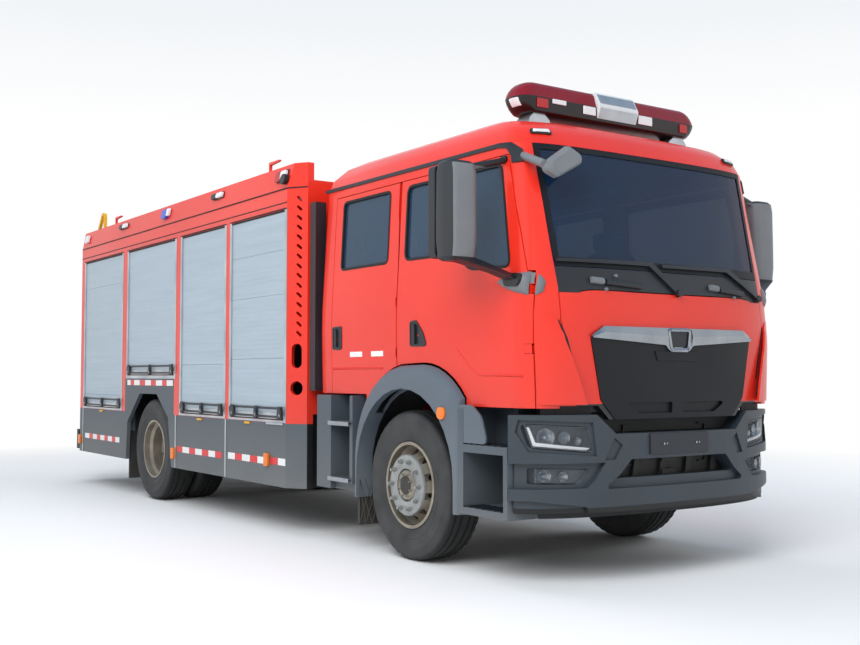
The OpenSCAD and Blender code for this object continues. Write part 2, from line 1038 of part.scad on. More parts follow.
// Kerb mirror ahead of the windscreen's corner, its housing tilted in the front view
module front_mirror() {
  color("#55585d") {
    difference() {
      strut([fx(1080), -1010, 2652], [fx(1362), -1040, 2540], 26);
      cab_form(-0.3);
    }
    loft([for (r = [[1322, 0.86], [1345, 1], [1380, 0.94], [1398, 0.72]])
      [for (p = rounded([
        [-1095, 2513, 40],
        [-945, 2462, 24],
        [-690, 2601, 40],
        [-855, 2674, 24]
      ], 4))
        [fx(r[0]), -896 + (p[0] + 896) * r[1], 2563 + (p[1] - 2563) * r[1]]]]);
  }
}

module seats() {
  color("#3c4046") {
    for (y = [-620, 620])
      seat(fx(480), y, 520);
    for (y = [-750, -250, 250, 750])
      seat(fx(-720), y, 460);
  }
}

module seat(x, y, w) {
  side_prism(rounded([
    [x - 260, cab_floor_z, 0],
    [x + 230, cab_floor_z, 0],
    [x + 260, 1480, 60],
    [x + 240, 1640, 60],
    [x - 150, 1610, 40],
    [x - 250, 2240, 60],
    [x - 370, 2240, 60],
    [x - 290, 1500, 60]
  ], 4), y - w / 2, y + w / 2);
}

module steering_wheel() {
  color("#202226") {
    translate([fx(812), 620, 1840])
      rotate([0, -38, 0]) {
        rotate_extrude()
          translate([210, 0])
            circle(r = 16);
        for (a = [0, 120, 240])
          rotate([0, 0, a])
            translate([0, -14, -8])
              cube([205, 28, 16]);
      }
    difference() {
      translate([fx(812), 620, 1840])
        rotate([0, -38, 0])
          translate([0, 0, -300])
            cylinder(r = 40, h = 305);
      side_prism(dash_outline(), -1000, 1000);
    }
  }
}

module air_intake() {
  color("#33373b") {
    block([cab_rear - 120, -1140, 1150], [cab_rear - 30, -1045, 2650]);
    block([cab_rear - 120, -1100, 1150], [cab_rear - 30, -rail_y + 60, 1200]);
    block([cab_rear - 120, -rail_y, rail_top], [cab_rear - 30, -rail_y + 60, 1151]);
  }
}

module chassis_frame() {
  color("#2b2d31") {
    both_sides() {
      front_prism([
        [-rail_y, rail_bottom],
        [-rail_y + rail_flange, rail_bottom],
        [-rail_y + rail_flange, rail_bottom + rail_t],
        [-rail_y + rail_t, rail_bottom + rail_t],
        [-rail_y + rail_t, rail_top - rail_t],
        [-rail_y + rail_flange, rail_top - rail_t],
        [-rail_y + rail_flange, rail_top],
        [-rail_y, rail_top]
      ], body_rear + body_wall, fx(1340));
      intersection() {
        bumper_plan(bumper_t);
        block([fx(1300), -rail_y, 775], [fx(1420), -rail_y + 60, 860]);
      }
      for (x = [1130, -1180])
        block([fx(x), -rail_y, rail_top - 5], [fx(x + 60), -rail_y + 60, cab_floor_z - 50]);
    }
    for (x = [fx(1240), fx(-1780), rxl + 760, rxl - 820, body_rear + body_wall])
      block([x, -rail_y + 1, rail_bottom + 60], [x + 80, rail_y - 1, rail_top - 60]);
    difference() {
      for (z = [650, 740])
        block([fx(1270), -60, z - 20], [fx(1364), 60, z + 20]);
      translate([fx(tow_x), 0, 500])
        cylinder(r = tow_hole_r, h = 300);
    }
    block([fx(1240), -60, 630], [fx(1271), 60, 800]);
    both_sides()
      difference() {
        block([body_rear - 90, -rail_y, 480], [body_rear + 100, -rail_y + 30, rail_bottom]);
        rod_y(body_rear - tow_rear, 540, -rail_y - 10, -rail_y + 50, tow_hole_r);
      }
  }
}

module engine() {
  color("#6f747a") {
    block([fx(-780), -290, 570], [fx(640), 290, 1120]);
    block([fx(-1450), -220, 470], [fx(-779), 220, 880]);
    for (x = [-500, 420])
      block([fx(x), -rail_y + rail_t, 800], [fx(x + 90), rail_y - rail_t, 860]);
    rod_x(0, 560, fx(-1550), fx(-1449), 70);
  }
}

module front_axle() {
  color("#3a3d42")
    difference() {
      union() {
        front_prism([
          [-kingpin_y, axle_z - 55],
          [-kingpin_y + 220, axle_z - 70],
          [-480, axle_z - 130],
          [480, axle_z - 130],
          [kingpin_y - 220, axle_z - 70],
          [kingpin_y, axle_z - 55],
          [kingpin_y, axle_z + 55],
          [kingpin_y - 220, axle_z + 30],
          [440, axle_z - 25],
          [-440, axle_z - 25],
          [-kingpin_y + 220, axle_z + 30],
          [-kingpin_y, axle_z + 55]
        ], fx(-45), fx(45));
        both_sides()
          translate([fx(0), -kingpin_y, axle_z - 60])
            cylinder(r = 60, h = 120);
      }
      both_sides()
        translate([fx(0), -kingpin_y, axle_z - 100])
          cylinder(r = kingpin_r + pin_clear, h = 200);
    }
}

module knuckle_piece() {
  for (z = [-95, 65]) {
    translate([fx(0), -kingpin_y, axle_z + z])
      cylinder(r = 58, h = 30);
    block([fx(-58), -kingpin_y - 100, axle_z + z], [fx(58), -kingpin_y, axle_z + z + 30]);
  }
  block([fx(-58), -kingpin_y - 100, axle_z - 95], [fx(58), -kingpin_y - 66, axle_z + 95]);
  translate([fx(0), -kingpin_y, axle_z - 95])
    cylinder(r = kingpin_r, h = 190);
  rod_y(fx(0), axle_z, -kingpin_y - 210, -kingpin_y - 99, spindle_r);
  block([fx(-160), -kingpin_y - 20, axle_z - 95], [fx(0), -kingpin_y + 20, axle_z - 65]);
  translate([fx(-160), -kingpin_y, axle_z - 130])
    cylinder(r = 12, h = 36);
}

module knuckle_right() {
  color("#44484d")
    knuckle_piece();
}

module knuckle_left() {
  color("#44484d")
    on_side(1)
      knuckle_piece();
}

module track_rod() {
  color("#3a3d42")
    difference() {
      union() {
        rod_y(fx(-160), axle_z - 112, -kingpin_y + 20, kingpin_y - 20, 14);
        both_sides()
          translate([fx(-160), -kingpin_y, axle_z - 126])
            cylinder(r = 30, h = 28);
      }
      both_sides()
        translate([fx(-160), -kingpin_y, axle_z - 140])
          cylinder(r = 12 + pin_clear, h = 60);
    }
}

function tyre_profile() =
  let (h = tyre_w / 2, r0 = rim_r + 0.4)
  concat(
    [[r0, -112.6], [r0 + 12, -112.6], [r0 + 40, -h + 16]],
    arc([r0 + 118, -h + 60], 60, 250, 190 + 80, 2),
    [[r0 + 178, -h + 4], [tyre_r - 20, -h + 16], [tyre_r, -h + 40]],
    [[tyre_r, h - 40], [tyre_r - 20, h - 16], [r0 + 178, h - 4]],
    arc([r0 + 118, h - 60], 60, 90, 110, 2),
    [[r0 + 40, h - 16], [r0 + 12, 112.6], [r0, 112.6], [r0, 84], [r0 + 50, h - 44], [tyre_r - 50, h - 50]],
    [[tyre_r - 34, h - 80], [tyre_r - 34, -h + 80], [tyre_r - 50, -h + 50], [r0 + 50, -h + 44], [r0, -84]]
  );

module tyre(y) {
  translate([0, y, axle_z])
    rotate([90, 0, 0])
      rotate_extrude()
        polygon(tyre_profile());
}

// Rim barrel about Y with its middle at y
module barrel(y) {
  translate([0, y, axle_z])
    rotate([90, 0, 0])
      rotate_extrude()
        polygon([
          [rim_r - 10, -128], [rim_r + 12, -128], [rim_r + 12, -114], [rim_r, -113],
          [rim_r, -70], [rim_r - 26, -50], [rim_r - 26, 50], [rim_r, 70],
          [rim_r, 113], [rim_r + 12, 114], [rim_r + 12, 128], [rim_r - 10, 128],
          [rim_r - 12, 72], [rim_r - 38, 46], [rim_r - 38, -46], [rim_r - 12, -72]
        ]);
}

// Disc and hub of a front wheel, outboard towards -Y
module front_disc(y) {
  translate([0, y, axle_z])
    rotate([90, 0, 0])
      difference() {
        rotate_extrude()
          polygon([
            [0, 60], [spindle_r + 40, 60], [spindle_r + 40, 100], [170, 116], [rim_r - 44, 20], [rim_r - 28, 20],
            [rim_r - 28, 40], [222, 78], [205, 118], [194, 138], [140, 138], [128, 108], [108, 108],
            [104, 150], [92, 160], [0, 160]
          ]);
        translate([0, 0, -10])
          cylinder(r = spindle_r + pin_clear, h = 130);
        for (i = [0 : hand_holes - 1])
          rotate([0, 0, (i + 0.5) * 360 / hand_holes])
            translate([214, 0, -20])
              cylinder(r = 27, h = 300);
      }
}

module front_rim_piece() {
  translate([fxl, 0, 0]) {
    barrel(-front_track_half);
    front_disc(-front_track_half);
  }
}

module rim_front_right() {
  color("#b8b0a0")
    front_rim_piece();
}

module rim_front_left() {
  color("#b8b0a0")
    on_side(1)
      front_rim_piece();
}

module tyre_front_right() {
  color("#303133")
    translate([fxl, 0, 0])
      tyre(-front_track_half);
}

module tyre_front_left() {
  color("#303133")
    translate([fxl, 0, 0])
      tyre(front_track_half);
}

module twin_rim_piece() {
  mid = rear_outer_y - twin_pitch / 2;
  translate([rxl, 0, 0]) {
    barrel(-rear_outer_y);
    barrel(-rear_outer_y + twin_pitch);
    translate([0, -mid, axle_z])
      rotate([90, 0, 0])
        difference() {
          rotate_extrude()
            polygon([
              [0, -12], [spindle_r + 5, -200], [spindle_r + 45, -200], [spindle_r + 60, -12], [190, -12],
              [rim_r - 44, -120], [rim_r - 28, -120], [rim_r - 28, -100], [205, 0],
              [rim_r - 28, 100], [rim_r - 28, 120], [rim_r - 44, 120], [190, 12],
              [150, 12], [140, 40], [95, 60], [80, 120], [0, 120]
            ]);
          translate([0, 0, -210])
            cylinder(r = spindle_r + pin_clear, h = 230);
          for (i = [0 : hand_holes - 1])
            rotate([0, 0, (i + 0.5) * 360 / hand_holes])
              translate([222, 0, -150])
                cylinder(r = 22, h = 300);
        }
  }
}

module rim_rear_right() {
  color("#b8b0a0")
    twin_rim_piece();
}

module rim_rear_left() {
  color("#b8b0a0")
    on_side(1)
      twin_rim_piece();
}

module tyre_rear_right() {
  color("#303133")
    translate([rxl, 0, 0]) {
      tyre(-rear_outer_y);
      tyre(-rear_outer_y + twin_pitch);
    }
}

module tyre_rear_left() {
  color("#303133")
    translate([rxl, 0, 0]) {
      tyre(rear_outer_y);
      tyre(rear_outer_y - twin_pitch);
    }
}

module rear_axle() {
  mid = rear_outer_y - twin_pitch / 2;
  color("#3a3d42") {
    rod_y(rxl, axle_z, -mid + 203, mid - 203, 75);
    both_sides()
      rod_y(rxl, axle_z, -mid + 12, -mid + 204, spindle_r);
    translate([rxl, 0, axle_z])
      sphere(r = 185);
    rod_x(0, 560, rxl + 60, rxl + 330, 80);
  }
}

module propeller_shaft() {
  color("#4a4d52")
    rod_x(0, 560, rxl + 330.3, fx(-1550.3), 48);
}

module leaf_springs() {
  color("#2f3135")
    both_sides() {
      leaf(fxl, axle_z - 25, 800, 60);
      leaf(rxl, axle_z + 78, 760, 70);
    }
}

// A leaf pack bowed between two hangers under the rail
module leaf(x, z, half, t) {
  rise = (rail_bottom - 30 - t - z) / (half * half);
  side_prism(concat(
    [for (i = [-8 : 8]) [x + half * i / 8, z + rise * pow(half * i / 8, 2)]],
    [for (i = [8 : -1 : -8]) [x + half * i / 8, z + t + rise * pow(half * i / 8, 2)]]
  ), -rail_y + 0, -rail_y + rail_flange);
  for (s = [-1, 1])
    block([x + s * (half - 40) - 40, -rail_y, rail_bottom - 60],
      [x + s * (half - 40) + 40, -rail_y + rail_flange, rail_bottom]);
  if (x == rxl)
    difference() {
      block([x - 60, -rail_y, z - 20], [x + 60, -rail_y + rail_flange, z + 10]);
      rod_y(rxl, axle_z, -rail_y - 10, 0, 75.3);
    }
}

module body_floor() {
  color("#8b9096")
    difference() {
      intersection() {
        body_form(body_wall);
        block([body_rear, -body_half, rail_top], [body_front, body_half, body_floor_top]);
      }
      both_sides()
        block([rxl + rear_arch[0] - 60, -body_half, 900], [rxl + rear_arch[1] + 60, -arch_room, 1120]);
    }
}

// Vent slots, a long hole and a round hole in the slanted panel at the body's front corner
module corner_holes() {
  translate([body_front - bend / 2, -body_half + corner_in / 2, 0])
    rotate([0, 0, atan2(corner_in, bend)])
      translate([0, 60, 0])
        rotate([90, 0, 0])
          linear_extrude(120) {
            for (i = [0 : 14])
              translate([18, 2695 - i * 78])
                rotate(-42)
                  polygon(rounded([[-30, -11, 10], [30, -11, 10], [30, 11, 10], [-30, 11, 10]], 3));
            polygon(rounded([[-46, 1327, 45], [46, 1327, 45], [46, 1524, 45], [-46, 1524, 45]], 6));
            translate([0, 1167])
              circle(r = 56, $fn = 24);
          }
}

module body_sides() {
  color("red") {
    difference() {
      body_skin()
        both_sides()
          block([body_rear - 10, -body_half - 10, split_z], [body_front + 10, -end_half, body_top + 10]);
      for (b = bays)
        both_sides()
          block([rxl + b[BAY_X] - b[BAY_W], -body_half - 10, b[BAY_Z]], [rxl + b[BAY_X], -wall_cut, shutter_top]);
      both_sides() {
        block([rxl + rear_arch[0] - 40, -body_half - 10, 800], [rxl + rear_arch[1] + 40, -wall_cut, 1240]);
        corner_holes();
      }
    }
    both_sides()
      for (x = [0.105, 0.81])
        translate([body_front - x * body_len, -body_half + parapet_lean, body_top])
          side_prism([[0, 0], [14, 0], [14, 54], [180, 66], [180, 78], [0, 78]], 6, 32);
  }
}

module body_ends() {
  color("firebrick") {
    body_skin()
      block([body_front - 100, -end_half, rail_top], [body_front + 10, end_half, parapet_z + 60]);
    difference() {
      body_skin()
        block([body_rear - 10, -end_half, rail_top - 200], [body_rear + 100, end_half, parapet_z + 60]);
      block([body_rear - 20, rear_bay[0], rear_bay_z], [body_rear + 200, rear_bay[1], shutter_top]);
    }
  }
}

module body_roof() {
  color("#9aa0a6")
    intersection() {
      body_form(body_wall);
      block([body_rear, -body_half, 2690], [body_front, body_half, 2720]);
    }
}

module shutters() {
  color("#b4c4d0") {
    for (b = bays)
      both_sides()
        block([rxl + b[BAY_X] - b[BAY_W] + 0.3, -body_w / 2 + 12, b[BAY_Z] + 0.3],
          [rxl + b[BAY_X] - 0.3, -body_w / 2 + 12 + shutter_t, shutter_top - 0.3]);
    block([body_rear + 12, rear_bay[0] + 0.3, rear_bay_z + 0.3],
      [body_rear + 12 + shutter_t, rear_bay[1] - 0.3, shutter_top - 0.3]);
  }
}

module lift_bars() {
  color("#1c1e21") {
    for (b = bays)
      both_sides() {
        for (z = [25, 95])
          rod_x(-body_w / 2 - 6, b[BAY_Z] + z, rxl + b[BAY_X] - b[BAY_W] + 40, rxl + b[BAY_X] - 40, 9);
        for (x = [70, b[BAY_W] / 2, b[BAY_W] - 70])
          block([rxl + b[BAY_X] - x - 15, -body_w / 2 - 14, b[BAY_Z] + 15],
            [rxl + b[BAY_X] - x + 15, -body_w / 2 + 12, b[BAY_Z] + 105]);
      }
  }
}

// Outline of the rear wheel opening in the side view
function rear_opening() = [
  [rxl + rear_arch[0], skirt_z - 50],
  [rxl + rear_arch[0] + 40, 777],
  [rxl - 300, 1080],
  [rxl + 185, 1080],
  [rxl + 500, 850],
  [rxl + rear_arch[1], skirt_z - 50]
];

module skirt_piece() {
  difference() {
    union() {
      body_skin()
        union() {
          block([body_rear - 10, -body_half - 10, skirt_z], [body_front + 10, -end_half, split_z]);
          block([rxl + rear_arch[0] - 40, -body_half - 10, skirt_z], [rxl + rear_arch[1] + 40, -wall_cut, 1240]);
        }
      intersection() {
        body_form(body_wall);
        union() {
          block([body_rear + 45, -body_half, skirt_z], [rxl + rear_arch[0] - 30, -700, skirt_z + 30]);
          block([rxl + rear_arch[1] + 20, -body_half, skirt_z], [body_front, -700, skirt_z + 30]);
          block([rxl + rear_arch[1] + 20, -body_half, skirt_z], [rxl + rear_arch[1] + 40, -arch_room, 1110]);
          block([rxl + rear_arch[0] - 40, -body_half, skirt_z], [rxl + rear_arch[0] - 20, -arch_room, 1110]);
          block([rxl + rear_arch[0] - 40, -body_half, 1090], [rxl + rear_arch[1] + 40, -arch_room, 1110]);
          block([body_front - 80, -body_half, skirt_z], [body_front - 50, -700, rail_top]);
        }
      }
    }
    side_prism(rear_opening(), -body_half - 10, -wall_cut);
  }
}

module skirts() {
  color("#54606b")
    both_sides()
      skirt_piece();
}

module rear_step() {
  color("#33373b") {
    difference() {
      block([-overall_length / 2, -body_half + 20, 400], [body_rear, body_half - 20, 470]);
      both_sides()
        block([body_rear - 100, -rail_y - 10, 380], [body_rear + 10, -rail_y + 40, 500]);
    }
    both_sides()
      block([-overall_length / 2, -body_half + 20, 390], [-overall_length / 2 + 60, -body_half + 250, 620]);
  }
}

module ladder() {
  color("silver") {
    for (y = [-1040, -680])
      block([body_rear - 90, y - 20, 700], [body_rear - 50, y + 20, body_top + 60]);
    for (i = [0 : 7])
      rod_y(body_rear - 70, 760 + i * 290, -1040, -680, 14);
    for (y = [-1040, -680])
      for (z = [900, 2600])
        block([body_rear - 60, y - 15, z], [body_rear, y + 15, z + 40]);
  }
}

// Hoops at the rear end of the parapet
module grab_rails() {
  color("gold")
    both_sides()
      translate([body_rear + 16, -body_half + parapet_lean + 72, 2720])
        difference() {
          side_prism(rounded([[30, 0, 0], [500, 0, 0], [500, 470, 55], [400, 470, 55]], 5), -16, 16);
          side_prism(rounded([[76, -20, 0], [466, -20, 0], [466, 436, 22], [414, 436, 22]], 5), -20, 20);
        }
}

module body_lamps() {
  color("white")
    both_sides() {
      difference() {
        for (l = parapet_lamps)
          translate([body_front - l[LAMP_AT] * body_len, -body_half, 0])
            side_prism(rounded([
              [-l[LAMP_HALF], l[LAMP_Z0], 14],
              [l[LAMP_HALF], l[LAMP_Z0], 14],
              [l[LAMP_HALF], l[LAMP_Z1], 14],
              [-l[LAMP_HALF], l[LAMP_Z1], 14]
            ], 3), -6, parapet_lean + 10);
        body_form(0);
      }
      for (m = [[body_front - 486, 523], [rxl + rear_arch[1] + 65, 460], [body_rear + 75, 458]])
        translate([m[0], -body_half, m[1]])
          block([-30, -16, 0], [30, 0, 106]);
      block([body_rear - 40, -body_half + 50, 720], [body_rear, -body_half + 140, 1060]);
    }
}

module water_tank() {
  color("#8d949c")
    block([rxl + 700, -tank_size[1] / 2, body_floor_top],
      [rxl + 700 + tank_size[0], tank_size[1] / 2, body_floor_top + tank_size[2]]);
}

module mud_flaps() {
  color("#1c1e21")
    both_sides() {
      block([rxl + rear_arch[0] - 19.5, -body_half + 45, 160], [rxl + rear_arch[0] - 8, -560, skirt_z + 300]);
      front_prism([
        [-1140, 175],
        [-800, 175],
        [-800, 520],
        [-1010, 520],
        [-1010, 380],
        [-1140, 380]
      ], fx(-626), fx(-614));
    }
}

chassis_frame();
engine();
front_axle();
rear_axle();
leaf_springs();
propeller_shaft();
bumper();
head_lamps();
wheel_arches();
entry_steps();
cab_floor();
cab_sides();
cab_roof();
cab_rear_wall();
cab_front();
windscreen();
seats();
steering_wheel();
wipers();
light_bar();
light_bar_lens();
front_mirror();
air_intake();
body_floor();
body_sides();
body_ends();
body_roof();
shutters();
lift_bars();
skirts();
rear_step();
ladder();
grab_rails();
body_lamps();
water_tank();
mud_flaps();
knuckle_right();
knuckle_left();
track_rod();
tyre_front_right();
tyre_front_left();
tyre_rear_right();
tyre_rear_left();
rim_front_right();
rim_front_left();
rim_rear_right();
rim_rear_left();
door_front_right();
door_front_left();
door_rear_right();
door_rear_left();
glass_front_right();
glass_front_left();
glass_rear_right();
glass_rear_left();
mirror_right();
mirror_left();
front_flap();
grille();
grille_bar();
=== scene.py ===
# %% [markdown]
# A fire truck is three objects in one: a pressed steel cab, a welded box body full of roller shutters,
# and a ladder frame on six tyres. The solids already hold the shapes, so this lesson adds the finishes
# and the small fittings that make a truck look used and real: slats, rubber seals, lamps, nuts, tread and
# seat cushions. Every length below is in millimetres from the front axle, because that is how the truck
# was measured.

# %% Load the frame
import math

import bmesh
import bpy
from mathutils import Matrix, Vector


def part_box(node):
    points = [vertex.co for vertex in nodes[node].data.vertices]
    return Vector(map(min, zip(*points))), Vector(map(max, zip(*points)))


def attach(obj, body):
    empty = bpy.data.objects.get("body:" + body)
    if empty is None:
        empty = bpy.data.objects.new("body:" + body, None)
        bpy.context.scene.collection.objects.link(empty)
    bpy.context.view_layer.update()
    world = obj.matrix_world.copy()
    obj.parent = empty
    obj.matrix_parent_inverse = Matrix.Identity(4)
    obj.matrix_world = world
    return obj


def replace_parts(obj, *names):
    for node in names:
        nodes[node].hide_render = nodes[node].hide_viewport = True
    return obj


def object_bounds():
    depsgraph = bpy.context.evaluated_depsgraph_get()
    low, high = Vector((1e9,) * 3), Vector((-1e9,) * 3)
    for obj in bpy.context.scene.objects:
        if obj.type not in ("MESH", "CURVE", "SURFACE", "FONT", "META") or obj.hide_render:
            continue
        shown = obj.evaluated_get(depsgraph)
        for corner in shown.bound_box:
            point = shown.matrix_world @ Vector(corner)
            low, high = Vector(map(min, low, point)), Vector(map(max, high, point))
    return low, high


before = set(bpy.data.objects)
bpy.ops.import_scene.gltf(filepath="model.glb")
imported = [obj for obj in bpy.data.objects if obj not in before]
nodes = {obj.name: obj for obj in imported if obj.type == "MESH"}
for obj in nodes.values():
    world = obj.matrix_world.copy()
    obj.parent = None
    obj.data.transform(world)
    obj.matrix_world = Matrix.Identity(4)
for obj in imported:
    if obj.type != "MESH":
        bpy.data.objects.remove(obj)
cad_low, cad_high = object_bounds()
low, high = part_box("rim_front_right")
AXLE_X = (low.x + high.x) / 2 * 1000
low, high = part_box("rim_rear_right")
REAR_X = (low.x + high.x) / 2 * 1000 - AXLE_X
# A wheel's middle stands this high above the ground.
WHEEL_R = 515
print("front axle at", round(AXLE_X), "mm, rear axle", round(-REAR_X), "mm behind it,",
      len(nodes), "solids")

# %% [markdown]
# The camera stands low at the truck's right front corner. Its place was worked out from the wheels and
# the body's edges, so a piece that is placed in millimetres lands on the right pixel without any nudging.

# %% Camera
eye = bpy.data.objects.new("eye", bpy.data.cameras.new("eye"))
bpy.context.scene.collection.objects.link(eye)
eye.data.lens = 45.869
eye.data.sensor_width = 36
eye.data.shift_x = -0.00076
eye.data.shift_y = -0.0018
eye.data.clip_end = 200
eye.location = (9.146, -5.320, 1.271)
eye.rotation_euler = Vector((-0.8206, 0.5693, 0.0495)).to_track_quat("-Z", "Y").to_euler()
bpy.context.scene.camera = eye
bpy.context.scene.view_settings.view_transform = "Standard"
print("camera at", [round(v, 2) for v in eye.location])

# %% [markdown]
# Materials are node trees. One function adds a node, sets what it should hold and links what comes in.
# The short ones after it name the steps that come back in every finish: start an empty tree, draw clouds,
# stretch a value to another range, reckon with two values, mix two colours, raise a relief and lay on the
# shader. Colours are picked as sRGB hex values, the way a paint chart gives them, and turned into the
# linear values that light is computed with.

# %% Colours and nodes
def linear(code):
    parts = [int(code[i:i + 2], 16) / 255 for i in (1, 3, 5)]
    return [p / 12.92 if p <= 0.04045 else ((p + 0.055) / 1.055) ** 2.4 for p in parts] + [1.0]


def add(tree, kind, inputs=(), **settings):
    node = tree.nodes.new(kind)
    for name, value in settings.items():
        setattr(node, name, value)
    for name, value in dict(inputs).items():
        if isinstance(value, bpy.types.NodeSocket):
            tree.links.new(value, node.inputs[name])
        else:
            node.inputs[name].default_value = value
    return node


def blank(name):
    material = bpy.data.materials.new(name)
    material.use_nodes = True
    tree = material.node_tree
    tree.nodes.clear()
    return material, tree, add(tree, "ShaderNodeTexCoord").outputs["Object"]


def noise(tree, where, scale, detail):
    settings = {"Vector": where, "Scale": scale, "Detail": detail}
    return add(tree, "ShaderNodeTexNoise", settings).outputs["Fac"]


def stretch(tree, value, start, end, low=0.0, high=1.0):
    settings = {"Value": value, "From Min": start, "From Max": end, "To Min": low, "To Max": high}
    return add(tree, "ShaderNodeMapRange", settings).outputs["Result"]


def reckon(tree, operation, one, two=0.0):
    return add(tree, "ShaderNodeMath", {0: one, 1: two}, operation=operation).outputs["Value"]


def mix(tree, factor, one, two):
    settings = {"Factor": factor, "A": one, "B": two}
    return add(tree, "ShaderNodeMix", settings, data_type="RGBA").outputs["Result"]


def relief(tree, height, strength, depth, **settings):
    inputs = {"Height": height, "Strength": strength, "Distance": depth}
    return add(tree, "ShaderNodeBump", inputs, **settings).outputs["Normal"]


def cover(tree, colour, inputs):
    shader = add(tree, "ShaderNodeBsdfPrincipled", {"Base Color": colour, **inputs})
    add(tree, "ShaderNodeOutputMaterial", {"Surface": shader.outputs["BSDF"]})


print("red", [round(v, 3) for v in linear("#e0251c")])

# %% [markdown]
# Most finishes on a truck differ only in colour, gloss and grain: enamel, powder coat, moulded plastic,
# rubber. Each real surface is a little uneven, so the function below mixes two nearby colours in soft
# clouds, lets the gloss wander with them, and lays a fine grain on top as bump. Road dust is a third
# colour that fades in towards the ground. A zone is a stretch along one axis that is painted another
# colour, such as the black lower edge of the bumper; on the flap, the skirts and the arches a zone is
# painted shade.
# The cloud and grain sizes are given in millimetres.

# %% The common finish
def finish(name, colour, second, rough, cloud, grain, depth, metal=0.0, coat=0.0, ior=1.5, dust=None,
           zones=()):
    material, tree, where = blank(name)
    clouds = noise(tree, where, 1000 / cloud, 4.0)
    shown = mix(tree, stretch(tree, clouds, 0.35, 0.65), linear(colour), linear(second))
    parts = add(tree, "ShaderNodeSeparateXYZ", {"Vector": where})
    if dust:
        code, foot, top, amount = dust
        height = stretch(tree, parts.outputs["Z"], foot / 1000, top / 1000, amount, 0.0)
        shown = mix(tree, reckon(tree, "MULTIPLY", height, clouds), shown, linear(code))
    for code, axis, start, end in zones:
        off = reckon(tree, "ABSOLUTE", parts.outputs[axis])
        off = reckon(tree, "ABSOLUTE", reckon(tree, "SUBTRACT", off, (start + end) / 2000))
        shown = mix(tree, reckon(tree, "LESS_THAN", off, (end - start) / 2000), shown, linear(code))
    gloss = stretch(tree, clouds, 0.3, 0.7, max(rough - 0.05, 0.02), rough + 0.06)
    bump = relief(tree, noise(tree, where, 1000 / grain, 2.0), 0.5, depth / 1000)
    cover(tree, shown, {"Roughness": gloss, "Metallic": metal, "IOR": ior, "Coat Weight": coat,
                        "Coat Roughness": 0.04, "Normal": bump})
    return material


# Two-pack enamel on pressed steel: a deep red under a hard clear gloss, with the faint orange peel of
# spraying.
enamel_red = finish("red_enamel", "#e22a14", "#d92511", 0.44, coat=0.4, cloud=1500, grain=6, depth=0.06,
                    dust=("#b98a78", 800, 1500, 0.12))
# The flap is painted near black below 1096 mm: painted shade where it lies behind the grille's lower slots
# and above the bumper.
flap_red = finish("red_enamel_on_flap_with_painted_shade", "#e22a14", "#d92511", 0.44, coat=0.4,
                  cloud=1500, grain=6, depth=0.06,
                  zones=[("#0e1012", "Z", 0, 1096)])
# Satin two-pack grey on the skirts: even, slightly chalky, dusty along the lower edge, with painted
# shade where it faces in.
skirt_grey = finish("satin_grey_paint", "#474e55", "#4e565d", 0.5, cloud=900, grain=4, depth=0.08,
                    dust=("#8d8a82", 350, 900, 0.5), zones=[("#17191b", "Y", 0, 1140)])
# Moulded grey polypropylene of the bumper, steps and arches: a soft sheen broken by a leather-like grain.
moulded_grey = finish("moulded_grey_plastic", "#424c55", "#4a545d", 0.46, cloud=700, grain=5, depth=0.12,
                      dust=("#8a8880", 380, 1000, 0.35))
bumper_grey = finish("moulded_bumper_plastic", "#30383f", "#373f47", 0.46, cloud=700, grain=5, depth=0.12,
                     zones=[("#101113", "Z", 0, 472)])
# Its inner faces, within 1035 mm of the middle, are painted near black as painted shade inside the arches.
arch_grey = finish("moulded_arch_plastic", "#515c66", "#5a646e", 0.48, cloud=700, grain=5, depth=0.12,
                   dust=("#8a8880", 380, 1000, 0.35), zones=[("#0d0e0f", "Y", 0, 1035)])
# Moulded black plastic: nearly black, satin, with a visible grain at arm's length.
moulded_black = finish("moulded_black_plastic", "#1b1e23", "#24282e", 0.42, cloud=500, grain=4, depth=0.12)
grille_black = finish("grille_black_plastic", "#0a0d12", "#0e1117", 0.5, ior=1.4,
                      cloud=500, grain=6, depth=0.1)
beacon_shell = finish("beacon_bar_housing", "#140d10", "#1b1013", 0.34, cloud=400, grain=5, depth=0.05)
mirror_grey = finish("moulded_mirror_shell", "#6b6f73", "#777b7f", 0.4, cloud=500, grain=4, depth=0.1)
door_mirror_grey = finish("moulded_door_mirror_shell", "#6b6f73", "#777b7f", 0.4,
                          cloud=500, grain=4, depth=0.1,
                          zones=[("#2b2d30", "Y", 1488, 1700), ("#1d1f22", "Z", 1790, 1986),
                                 ("#1d1f22", "Z", 2556, 2700)])
# Chassis black: matte paint over rolled steel, greyed by road dust.
chassis_black = finish("chassis_black_paint", "#121416", "#1c1e20", 0.6, cloud=300, grain=8, depth=0.3,
                       dust=("#6f6a60", 200, 1000, 0.6))
# Cast iron of axles, hubs and gearbox: dark grey, rough from the sand mould.
cast_iron = finish("sand_cast_iron", "#2b2d2f", "#383838", 0.65, metal=0.3, cloud=120, grain=6, depth=0.4,
                   dust=("#77705f", 200, 800, 0.5))
# Painted wheel steel: warm silver with brake dust settled in clouds.
wheel_steel = finish("painted_wheel_steel", "#a59d8e", "#857e72", 0.42, metal=0.55,
                     cloud=160, grain=4, depth=0.1,
                     dust=("#7a7265", 0, 1000, 0.35))
# Machined steel of the hub flange and its nuts: brighter and cooler than the painted wheel.
hub_steel = finish("machined_hub_steel", "#a0a2a0", "#8c8f8e", 0.36, metal=0.5,
                   cloud=120, grain=3, depth=0.06)
